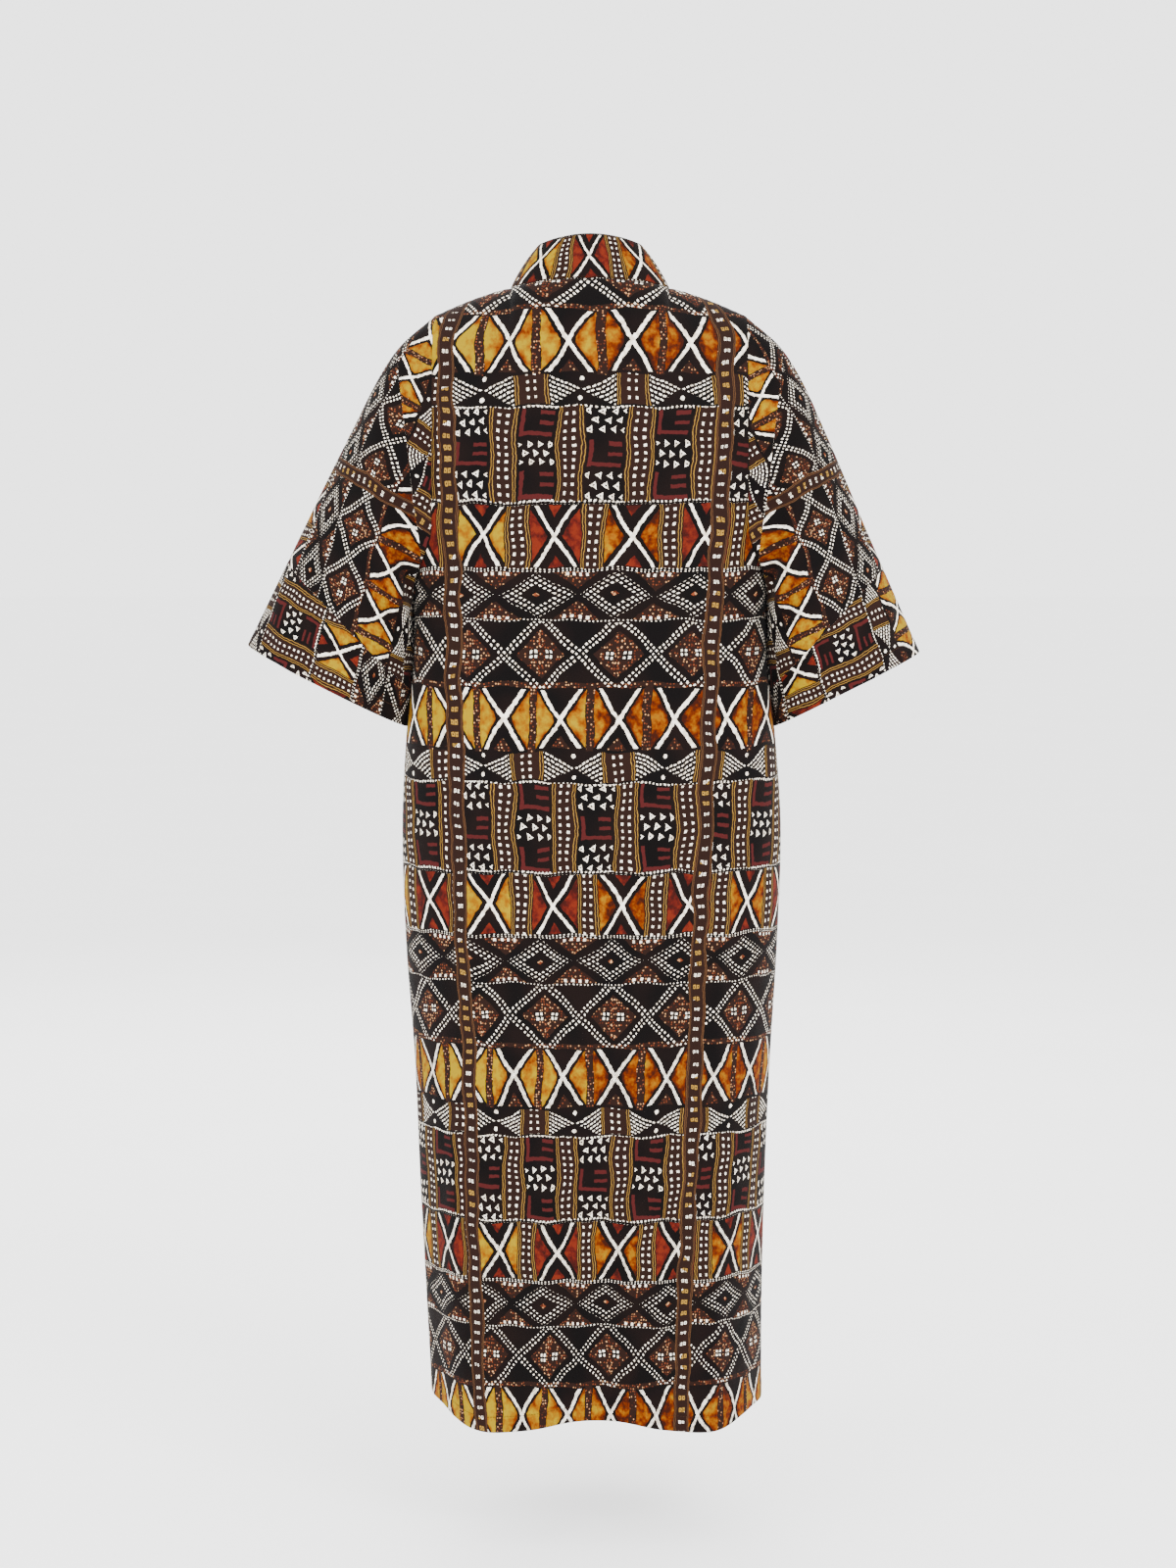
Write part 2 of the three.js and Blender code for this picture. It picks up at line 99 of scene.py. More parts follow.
# The print, in millimetres
REPEAT = 446.4  # height of one repeat
STRIPE_AT = 169.0  # middle of the upright stripes, from the middle of the print
BAND_PRINT_SCALE = 1.28  # print for each millimetre of the neckband
BAND_MOTIF = -37.0  # the crossing at the nape, across the print
BAND_ROW = 266.5  # middle of the row of red crosses, down the print
ROLL_START = 0.72  # share of the yoke's height from which the print follows the roll
ROLL_FOLLOWED = 0.8  # share of the roll's depth that it follows


class Side(Enum):
    """The robe's own left or right, by the sign of its X."""

    LEFT = 1
    RIGHT = -1

    @property
    def word(self) -> str:
        """The side's name as the frame's nodes have it."""
        return self.name.lower()


@dataclass(frozen=True)
class Strip:
    """A strip across a sleeve that shows another part of the print, in millimetres.

    Attributes:
        start: where it starts, along the sleeve's top line.
        end: where it ends.
        shift: how far across and down the print its part is.
    """

    start: float
    end: float
    shift: tuple[float, float]


@dataclass(frozen=True)
class SleevePrint:
    """Where the print lies on a sleeve, in millimetres.

    Attributes:
        slant: how far the rows fall away from the top line for each millimetre along.
        strips: the strips beside the armhole and the cuff.
        scale: size of the print on the sleeve as a share of its size at the shoulders.
        stripe_at: distance of the stripe from the armhole, along the sleeve.
        row: the place down the print of the row of lozenges.
        row_depth: how far that row lies below the sleeve's top line, at the stripe.
    """

    slant: float
    strips: tuple[Strip, ...]
    scale: float = 0.72
    stripe_at: float = 209.0
    row: float = 337.0
    row_depth: float = 35.0


ARMHOLE_STRIP = (0.0, 60.0)
CUFF_STRIP = (345.0, 600.0)
STRIP_BORDER = 0.03  # width of the border of a strip, as a share of the gap between two rings
SLEEVE_PRINTS = {
    Side.LEFT: SleevePrint(0.2, (Strip(*ARMHOLE_STRIP, (-10.0, 97.0)), Strip(*CUFF_STRIP, (0.0, -163.0)))),
    Side.RIGHT: SleevePrint(0.1, (Strip(*ARMHOLE_STRIP, (-32.0, 92.0)), Strip(*CUFF_STRIP, (0.0, -255.0)))),
}
SLEEVE_SWING = {Side.LEFT: 0.0, Side.RIGHT: -2.2}  # degrees that each sleeve is lifted outwards


class Face(Enum):
    """The back or the front of the body, by the sign of its Y."""

    BACK = 1
    FRONT = -1


class Edge(Enum):
    """A side of a panel's grid, as its axis and the index of its line of points."""

    FIRST_ROW = (0, 0)
    LAST_ROW = (0, -1)
    FIRST_COLUMN = (1, 0)
    LAST_COLUMN = (1, -1)


class Join(Enum):
    """What happens at an edge of a panel."""

    SEAM = "sewn to the next panel"
    HEM = "turned up and stitched"
    FOLD = "folded over"


def smooth(x: np.ndarray | float) -> np.ndarray:
    """Rises softly from 0 to 1 as x goes from 0 to 1."""
    x = np.clip(x, 0.0, 1.0)
    return x * x * (3 - 2 * x)


def bump(distance: np.ndarray, width: np.ndarray | float) -> np.ndarray:
    """A soft bump of height 1 that fades to nothing a width away from its middle."""
    share = np.minimum(np.abs(distance) / width, 1.0)
    return (1 + np.cos(math.pi * share)) / 2


def mix(a: np.ndarray | float, b: np.ndarray | float, share: np.ndarray | float) -> np.ndarray:
    """Goes from a to b as share goes from 0 to 1."""
    return a + (b - a) * share


def signed_power(value: np.ndarray, power: float) -> np.ndarray:
    """Raises a number's size to a power and keeps its sign."""
    return np.sign(value) * np.abs(value) ** power


def unit(vectors: np.ndarray) -> np.ndarray:
    """Scales vectors to length 1."""
    return vectors / np.maximum(np.linalg.norm(vectors, axis=-1, keepdims=True), 1e-12)


def running(steps: np.ndarray, axis: int = 0) -> np.ndarray:
    """Adds up steps along an axis, from 0."""
    start = np.zeros_like(steps.take([0], axis=axis))
    return np.concatenate([start, np.cumsum(steps, axis=axis)], axis=axis)


def spans(points: np.ndarray, axis: int = 0) -> np.ndarray:
    """Distances from each point to the next along an axis."""
    return np.linalg.norm(np.diff(points, axis=axis), axis=-1)


class Table:
    """Rows of sizes, read on a smooth curve through them."""

    def __init__(self, columns: Sequence[str], rows: Sequence[Sequence[float]]) -> None:
        """Keeps the rows in rising order of their first column.

        Args:
            columns: names of the columns; the first is the key.
            rows: one tuple for each row.
        """
        values = np.array(sorted(rows), dtype=float)
        self.key = values[:, 0]
        self.columns = {name: values[:, i] for i, name in enumerate(columns)}

    def read(self, column: str, at: np.ndarray | float) -> np.ndarray:
        """Reads a column at a key.

        Args:
            column: the column's name.
            at: one key or an array of them.

        Returns:
            The column's value at each key.
        """
        value = self.columns[column]
        last = len(self.key) - 1
        i = np.clip(np.searchsorted(self.key, at, side="right") - 1, 0, last - 1)
        below = np.maximum(np.arange(last + 1) - 1, 0)
        above = np.minimum(np.arange(last + 1) + 1, last)
        slope = (value[above] - value[below]) / (self.key[above] - self.key[below])
        span = self.key[i + 1] - self.key[i]
        t = np.clip((at - self.key[i]) / span, 0.0, 1.0)
        return (
            (2 * t**3 - 3 * t**2 + 1) * value[i]
            + (t**3 - 2 * t**2 + t) * span * slope[i]
            + (3 * t**2 - 2 * t**3) * value[i + 1]
            + (t**3 - t**2) * span * slope[i + 1]
        )


SECTIONS = Table(
    ("z", "half", "sway", "back", "front"),
    (
        (HEM_Z, 0.202, -0.008, 0.146, 0.146),
        (-1.230, 0.205, -0.005, 0.146, 0.149),
        (-1.080, 0.210, -0.003, 0.146, 0.152),
        (-0.930, 0.216, -0.003, 0.147, 0.157),
        (-0.790, 0.225, -0.002, 0.147, 0.162),
        (-0.650, 0.229, -0.002, 0.142, 0.166),
        (-0.540, 0.223, -0.001, 0.133, 0.166),
        (-0.440, 0.213, 0.0, 0.128, 0.161),
        (UNDERARM_Z, 0.214, 0.0, 0.128, 0.156),
    ),
)
FRONT_EDGE = Table(
    ("z", "seam", "free"),
    (
        (HEM_Z, 0.092, 0.032),
        (-0.900, 0.090, 0.030),
        (-0.520, 0.086, 0.026),
        (-0.400, 0.084, 0.024),
        (UNDERARM_Z, 0.084, 0.024),
    ),
)
SLEEVE_RINGS = Table(
    ("along", "top_x", "top_z", "low_x", "low_z", "depth"),
    (
        (0.0, 0.188, -0.034, 0.214, -0.332, 0.080),
        (0.1, 0.226, -0.066, 0.2133, -0.348, 0.084),
        (0.2, 0.252, -0.103, 0.2130, -0.370, 0.086),
        (0.35, 0.284, -0.165, 0.2127, -0.402, 0.086),
        (0.5, 0.315, -0.226, 0.2126, -0.432, 0.084),
        (0.65, 0.345, -0.287, 0.2142, -0.461, 0.080),
        (0.8, 0.374, -0.346, 0.2172, -0.489, 0.076),
        (1.0, 0.413, -0.426, 0.2211, -0.524, 0.071),
    ),
)
# Repeats of the print below its first row of crosses, by height on the robe
PRINT_ROWS = Table(
    ("z", "repeat"),
    ((0.4, -0.962), (-0.0272, 0.0), (-0.4715, 1.0), (-0.8959, 2.0), (-1.3049, 3.0), (-1.5, 3.48)),
)
# How much narrower the print is drawn lower down, and how far its middle drifts to the left
PRINT_DRIFT = Table(
    ("repeat", "scale", "middle"),
    (
        (-1.0, 1.0, -0.0017),
        (0.05, 1.0, -0.0017),
        (1.1, 0.905, 0.0115),
        (2.1, 0.8, 0.0126),
        (3.1, 0.72, 0.0183),
    ),
)


@dataclass(frozen=True)
class Fold:
    """A long soft fold down a panel.

    Attributes:
        at: its place across, from 0 at the middle plane to 1 at the left side seam.
        width: of half the fold, in the same measure.
        depth: how far a ridge stands out; under zero for a trough.
        top_z: where it starts; it grows from there to the hem.
    """

    at: float
    width: float
    depth: float
    top_z: float

    def push(self, at: np.ndarray, z: np.ndarray) -> np.ndarray:
        """How far the fold pushes the cloth out.

        Args:
            at: places across the panel.
            z: heights.

        Returns:
            The push at each place, in metres.
        """
        grown = smooth((self.top_z - z) / (self.top_z - HEM_Z))
        return self.depth * grown * bump(at - self.at, self.width)


BACK_FOLDS = (
    Fold(0.0, 0.2, -0.017, -0.82),
    Fold(0.42, 0.2, 0.007, -0.76),
    Fold(-0.46, 0.2, 0.007, -0.70),
    Fold(0.76, 0.16, -0.003, -0.56),
    Fold(-0.78, 0.16, -0.003, -0.60),
)
FRONT_FOLDS = (
    Fold(0.5, 0.13, -0.012, -0.42),
    Fold(0.74, 0.12, 0.009, -0.48),
    Fold(-0.54, 0.13, -0.011, -0.46),
    Fold(-0.78, 0.12, 0.008, -0.44),
)
# Each fold's place along a sleeve, width, depth, and how far up from the underarm line it runs
SLEEVE_FOLDS = (
    (0.24, 0.09, -0.011, 0.62),
    (0.5, 0.1, -0.012, 0.72),
    (0.77, 0.1, -0.009, 0.66),
    (0.37, 0.08, 0.007, 0.55),
    (0.64, 0.08, 0.007, 0.6),
)


@dataclass(frozen=True)
class Crease:
    """A drag line or a small soft fold from one point of a panel to another.

    Attributes:
        start: where it starts, across and up in metres of the panel's own measure.
        end: where it ends, in the same measure.
        width: of half the crease.
        depth: how far a ridge stands out; under zero for a trough.
        bend: how far the crease bows aside halfway.
    """

    start: tuple[float, float]
    end: tuple[float, float]
    width: float
    depth: float
    bend: float = 0.0

    def push(self, across: np.ndarray, up: np.ndarray) -> np.ndarray:
        """How far the crease pushes the cloth out.

        Args:
            across: places across the panel.
            up: places up the panel.

        Returns:
            The push at each place, in metres.
        """
        reach_x, reach_z = self.end[0] - self.start[0], self.end[1] - self.start[1]
        length = math.hypot(reach_x, reach_z)
        ux, uz = reach_x / length, reach_z / length
        along = ((across - self.start[0]) * ux + (up - self.start[1]) * uz) / length
        aside = (up - self.start[1]) * ux - (across - self.start[0]) * uz
        inside = np.clip(along, 0.0, 1.0)
        aside = aside - self.bend * 4 * inside * (1 - inside)
        taper = smooth(along / 0.4 + 0.3) * smooth((1 - along) / 0.4 + 0.3)
        return self.depth * taper * bump(aside, self.width * (0.75 + 0.5 * inside))


# Across is from the middle plane towards the robe's left, and up is the height
BACK_CREASES = (
    Crease((0.175, -0.36), (0.085, -0.20), 0.022, -0.0035, 0.012),
    Crease((0.185, -0.40), (0.10, -0.29), 0.018, 0.0028, 0.008),
    Crease((-0.172, -0.35), (-0.075, -0.215), 0.023, -0.0032, -0.012),
    Crease((-0.182, -0.41), (-0.115, -0.30), 0.017, 0.0026, -0.008),
    Crease((0.165, -0.50), (0.06, -0.455), 0.020, -0.0024, -0.010),
    Crease((-0.155, -0.53), (-0.02, -0.49), 0.022, -0.0026, 0.010),
    Crease((0.12, -0.60), (0.14, -0.86), 0.024, 0.0030, 0.010),
    Crease((-0.10, -0.62), (-0.125, -0.92), 0.026, -0.0030, -0.012),
    Crease((-0.165, -0.66), (-0.15, -1.02), 0.022, 0.0032, 0.008),
    Crease((0.045, -0.74), (0.06, -1.10), 0.024, -0.0030, 0.010),
    Crease((-0.045, -0.80), (-0.06, -1.16), 0.022, 0.0026, -0.008),
    Crease((0.10, -1.00), (0.095, -1.40), 0.026, -0.0036, 0.008),
    Crease((-0.09, -1.04), (-0.10, -1.40), 0.025, -0.0034, -0.006),
    Crease((0.16, -0.95), (0.15, -1.40), 0.020, 0.0034, 0.006),
    Crease((-0.15, -1.12), (-0.145, -1.40), 0.020, 0.0030, 0.0),
    Crease((0.12, -0.10), (0.02, -0.13), 0.020, -0.0018, 0.008),
    Crease((-0.13, -0.105), (-0.03, -0.15), 0.020, -0.0018, -0.008),
)
FRONT_CREASES = (
    Crease((0.175, -0.37), (0.10, -0.17), 0.022, -0.0038, -0.014),
    Crease((0.185, -0.44), (0.12, -0.30), 0.018, 0.0030, 0.010),
    Crease((0.13, -0.47), (0.115, -0.78), 0.022, 0.0030, 0.010),
    Crease((0.16, -0.62), (0.15, -1.00), 0.022, -0.0034, -0.008),
    Crease((0.115, -0.86), (0.12, -1.24), 0.020, 0.0032, 0.006),
    Crease((0.155, -1.04), (0.145, -1.40), 0.022, -0.0038, 0.006),
    Crease((-0.172, -0.36), (-0.105, -0.19), 0.021, -0.0036, 0.012),
    Crease((-0.185, -0.46), (-0.125, -0.33), 0.018, 0.0028, -0.008),
    Crease((-0.125, -0.52), (-0.12, -0.86), 0.022, 0.0030, -0.010),
    Crease((-0.165, -0.70), (-0.15, -1.10), 0.023, -0.0034, 0.008),
    Crease((-0.115, -0.95), (-0.12, -1.40), 0.020, 0.0034, -0.006),
)
# Across is the distance from the armhole towards the cuff, and up is minus the distance down from
# the sleeve's top line
SLEEVE_CREASES = (
    Crease((0.03, -0.05), (0.10, -0.20), 0.020, -0.0030, 0.010),
    Crease((0.09, -0.04), (0.17, -0.24), 0.022, 0.0028, 0.012),
    Crease((0.15, -0.07), (0.27, -0.26), 0.020, -0.0034, 0.014),
    Crease((0.24, -0.06), (0.33, -0.22), 0.020, 0.0028, 0.010),
    Crease((0.30, -0.05), (0.43, -0.19), 0.022, -0.0032, 0.010),
    Crease((0.38, -0.03), (0.46, -0.12), 0.018, 0.0026, 0.006),
)


@dataclass
class Panel:
    """One cut piece of cloth as a grid of points, with its place in the print at each point.

    Attributes:
        name: the piece's name.
        points: rows by columns by 3.
        cloth: rows by columns by 2, the place in the print, in millimetres of cloth.
        outward: whether across times up points out of the robe.
        joins: what happens at each edge.
        layer: thickness of the cloth.
        creases: how far small creases push each point out.
    """

    name: str
    points: np.ndarray
    cloth: np.ndarray
    outward: bool
    joins: dict[Edge, Join]
    layer: float = LAYER
    creases: np.ndarray | None = None

    # Lines of points added near an edge, by distance from it, and the share of a gap between two
    # lines that a new one keeps from each of them
    SEAM_LINES = (0.0007, 0.0022)
    HEM_LINES = (0.0007, 0.0022, 0.0172, 0.0180, 0.0188, 0.0200, 0.0212)
    LINE_CLEARANCE = 0.05
    # Heights of the sewing's relief, in millimetres
    SEAM_RIDGE, SEAM_PUCKER = 0.7, 0.38
    HEM_RAISE, STITCH_DIP, HEM_PUCKER = 0.35, 0.4, 0.3
    STITCH_LINE = (TURN_UP - HEM_STITCH_IN) / MM  # millimetres from the hem
    CREASE_CLEARANCE = 0.03  # distance from a seam within which creases fade out
    TURN_UP_LAYERS = 1.2  # what the turn-up adds to a hem's thickness, in layers
    RIM_SHARE = 0.45  # how far a rim rounds out, as a share of the thickness
    # Shares of the baking map's width: the printed face's end and the reverse's start
    PRINTED_END, REVERSE_START = 0.72, 0.74

    def reach(self, edge: Edge) -> np.ndarray:
        """Distance along the cloth of each point from an edge, rows by columns."""
        axis, end = edge.value
        points = np.flip(self.points, axis) if end else self.points
        total = running(spans(points, axis), axis)
        return np.flip(total, axis) if end else total

    def run(self, edge: Edge) -> np.ndarray:
        """Distance of each point along the direction of an edge, rows by columns."""
        along = Edge.FIRST_COLUMN if edge.value[0] == 0 else Edge.FIRST_ROW
        return self.reach(along)

    def add_lines(self) -> None:
        """Adds lines of points close to each edge, for crisp seams and hems."""
        for edge, join in self.joins.items():
            axis, end = edge.value
            distances = self.HEM_LINES if join is Join.HEM else self.SEAM_LINES
            for distance in distances:
                mean = self.reach(edge).mean(axis=1 - axis)
                order = mean[::-1] if end else mean
                k = int(np.clip(np.searchsorted(order, distance) - 1, 0, len(order) - 2))
                share = (distance - order[k]) / (order[k + 1] - order[k])
                if not self.LINE_CLEARANCE < share < 1 - self.LINE_CLEARANCE:
                    continue
                a, b = (len(order) - 1 - k, len(order) - 2 - k) if end else (k, k + 1)
                place = max(a, b)
                for values in ("points", "cloth", "creases"):
                    grid = getattr(self, values)
                    line = mix(grid.take(a, axis=axis), grid.take(b, axis=axis), share)
                    setattr(self, values, np.insert(grid, place, line, axis=axis))

    def normals(self) -> np.ndarray:
        """Outward normals at the points, rows by columns by 3."""
        across = np.gradient(self.points, axis=1)
        up = np.gradient(self.points, axis=0)
        return unit(np.cross(across, up)) * (1 if self.outward else -1)

    def sewn(self) -> np.ndarray:
        """How far the sewing pushes each point out: ridges beside seams, turn-ups and puckers."""
        total = np.zeros(self.points.shape[:2])
        for edge, join in self.joins.items():
            away = self.reach(edge) / MM
            run = self.run(edge) / MM
            wave = np.sin(run / 2.1 + 1.7 * np.sin(run / 31.0)) * (0.6 + 0.4 * np.sin(run / 57.0))
            if join is Join.SEAM:
                total += self.SEAM_RIDGE * (1 - np.exp(-((away / 1.5) ** 2))) * np.exp(-away / 16)
                total += self.SEAM_PUCKER * wave * np.exp(-away / 9) * (1 - np.exp(-away / 2.5))
            elif join is Join.HEM:
                total += self.HEM_RAISE * (1 - smooth((away - self.STITCH_LINE - 1) / 2))
                total -= self.STITCH_DIP * np.exp(-((away - self.STITCH_LINE) ** 2))
                total += self.HEM_PUCKER * wave * np.exp(-np.abs(away - self.STITCH_LINE + 4) / 8)
        return total * MM

    def finish_surface(self) -> None:
        """Adds the edge lines, the creases and the sewing to the points."""
        if self.creases is None:
            self.creases = np.zeros(self.points.shape[:2])
        self.add_lines()
        clear = np.ones(self.points.shape[:2])
        for edge, join in self.joins.items():
            if join is not Join.HEM:
                clear *= smooth(self.reach(edge) / self.CREASE_CLEARANCE)
        push = self.creases * clear + self.sewn()
        self.points = self.points + self.normals() * push[..., None]

    def thickness(self) -> np.ndarray:
        """Thickness of the cloth at each point; a turned-up hem is doubled."""
        thick = np.full(self.points.shape[:2], self.layer)
        for edge, join in self.joins.items():
            if join is Join.HEM:
                turned_up = self.reach(edge) < TURN_UP + 0.1 * MM
                thick += self.layer * self.TURN_UP_LAYERS * turned_up
        return thick

    def line(self, edge: Edge, distance: float) -> np.ndarray:
        """Points on the outer surface at a distance from an edge, with their normals.

        Args:
            edge: the edge.
            distance: how far from it.

        Returns:
            Points by 6, place and outward normal.
        """
        axis, end = edge.value
        data = np.concatenate([self.points, self.normals()], axis=-1)
        reach = self.reach(edge)
        if axis == 1:
            data, reach = data.swapaxes(0, 1), reach.T
        if end:
            data, reach = data[::-1], reach[::-1]
        k = np.argmax(reach > distance, axis=0)
        columns = np.arange(reach.shape[1])
        low, high = reach[k - 1, columns], reach[k, columns]
        share = ((distance - low) / (high - low))[:, None]
        return mix(data[k - 1, columns], data[k, columns], share)

    def area(self) -> float:
        """Area of the outer surface in square metres."""
        p = self.points
        a, b = p[1:, 1:] - p[:-1, :-1], p[1:, :-1] - p[:-1, 1:]
        return float(np.linalg.norm(np.cross(a, b), axis=-1).sum() / 2)

    def build(self, outside: bpy.types.Material, inside: bpy.types.Material) -> bpy.types.Object:
        """Makes the panel's closed shell: an outer face, an inner one, and rounded edges.

        Args:
            outside: material of the printed face.
            inside: material of the reverse.

        Returns:
            The new object.
        """
        rows, columns = self.points.shape[:2]
        normals = self.normals()
        thick = self.thickness()[..., None]
        index = np.arange(rows * columns).reshape(rows, columns)
        ring = np.concatenate([index[0, :-1], index[:-1, -1], index[-1, :0:-1], index[:0:-1, 0]])
        flat = self.points.reshape(-1, 3)
        inner = (self.points - normals * thick).reshape(-1, 3)
        rim = (flat[ring] + inner[ring]) / 2 + self.overhang(ring, columns) * thick.reshape(-1, 1)[ring]
        count = rows * columns
        a, b = np.arange(len(ring)), np.roll(np.arange(len(ring)), -1)
        quads = [
            np.stack([index[:-1, :-1], index[:-1, 1:], index[1:, 1:], index[1:, :-1]], -1).reshape(-1, 4),
            np.stack([ring[b], ring[a], count + a, count + b], -1),
            np.stack([count + b, count + a, count + len(ring) + ring[a], count + len(ring) + ring[b]], -1),
        ]
        quads.append(quads[0][:, ::-1] + count + len(ring))
        faces = np.concatenate(quads)
        if not self.outward:
            faces = faces[:, ::-1]
        outer_faces = len(quads[0]) + len(quads[1])
        piece = add_object(self.name, np.concatenate([flat, rim, inner]), faces, outside, inside)
        is_inner = (np.arange(len(faces)) >= outer_faces).astype(np.int32)
        piece.data.polygons.foreach_set("material_index", is_inner)
        self.add_uvs(piece.data, ring, is_inner)
        piece.data.validate()
        return piece

    def overhang(self, ring: np.ndarray, columns: int) -> np.ndarray:
        """How the rim rounds out past the edge, as a share of the thickness at each rim point."""
        out = np.zeros((len(ring), 3))
        row, column = np.divmod(ring, columns)
        rows = len(self.points)
        for edge, join in self.joins.items():
            if join is Join.SEAM:
                continue
            axis, end = edge.value
            here = column if axis else row
            last = (columns if axis else rows) - 1
            on = here == (last if end else 0)
            back = -1 if end else 1
            r, c = row[on], column[on]
            neighbour = (r, c + back) if axis else (r + back, c)
            out[on] += self.RIM_SHARE * unit(self.points[r, c] - self.points[neighbour])
        return out

    def add_uvs(self, mesh: bpy.types.Mesh, ring: np.ndarray, is_inner: np.ndarray) -> None:
        """Adds the map of the print and a map in which no two faces overlap.

        Args:
            mesh: the panel's mesh.
            ring: the outer point that each rim point belongs to.
            is_inner: which faces belong to the reverse.
        """
        rows, columns = self.points.shape[:2]
        vertex = np.empty(len(mesh.loops), dtype=np.int32)
        mesh.loops.foreach_get("vertex_index", vertex)
        count = rows * columns
        owner = np.concatenate([np.arange(count), ring, np.arange(count)])[vertex]
        cloth = mesh.uv_layers.new(name="cloth")
        cloth.data.foreach_set("uv", self.cloth.reshape(-1, 2)[owner].astype(np.float32).ravel())
        row, column = np.divmod(owner, columns)
        across = column / (columns - 1)
        inner = np.repeat(is_inner, 4).astype(bool)
        reverse = mix(self.REVERSE_START, 1.0, across)
        packed = np.stack([np.where(inner, reverse, self.PRINTED_END * across), row / (rows - 1)], -1)
        bake = mesh.uv_layers.new(name="OFBake")
        bake.data.foreach_set("uv", packed.astype(np.float32).ravel())


def add_object(
    name: str,
    points: Sequence[Sequence[float]] | np.ndarray,
    faces: Sequence[Sequence[int]] | np.ndarray,
    *materials: bpy.types.Material,
) -> bpy.types.Object:
    """Adds a smoothly shaded mesh to the scene.

    Args:
        name: of the mesh and the object.
        points: the places of its points.
        faces: the points of each face.
        materials: its material slots.

    Returns:
        The new object.
    """
    mesh = bpy.data.meshes.new(name)
    mesh.from_pydata(points, [], faces)
    mesh.polygons.foreach_set("use_smooth", np.ones(len(faces), dtype=bool))
    for material in materials:
        mesh.materials.append(material)
    obj = bpy.data.objects.new(name, mesh)
    bpy.context.scene.collection.objects.link(obj)
    return obj


def turn_at(x: np.ndarray | float, half: np.ndarray | float) -> np.ndarray:
    """The angle round the body's section at which it is x from the middle plane."""
    return np.arcsin(np.minimum(np.abs(x) / half, 1.0) ** (SQUARENESS / 2))


def shoulder_points(x: np.ndarray) -> np.ndarray:
    """Points of the shoulder seam at places across."""
    share = np.maximum(np.abs(x) - NECK_X, 0) / (ARMHOLE_X - NECK_X)
    return np.stack([x, SHOULDER_Y * smooth(share * 3), -SHOULDER_DROP * share**SHOULDER_BEND], -1)


def nape_points(x: np.ndarray) -> np.ndarray:
    """Points of the back neckline at places across."""
    share = np.minimum(np.abs(x) / NECK_X, 1)
    y = NECK_BACK_Y * np.maximum(1 - share**SQUARENESS, 0) ** (1 / SQUARENESS)
    return np.stack([x, y, NECK_BACK_Z * (1 - share**2)], -1)


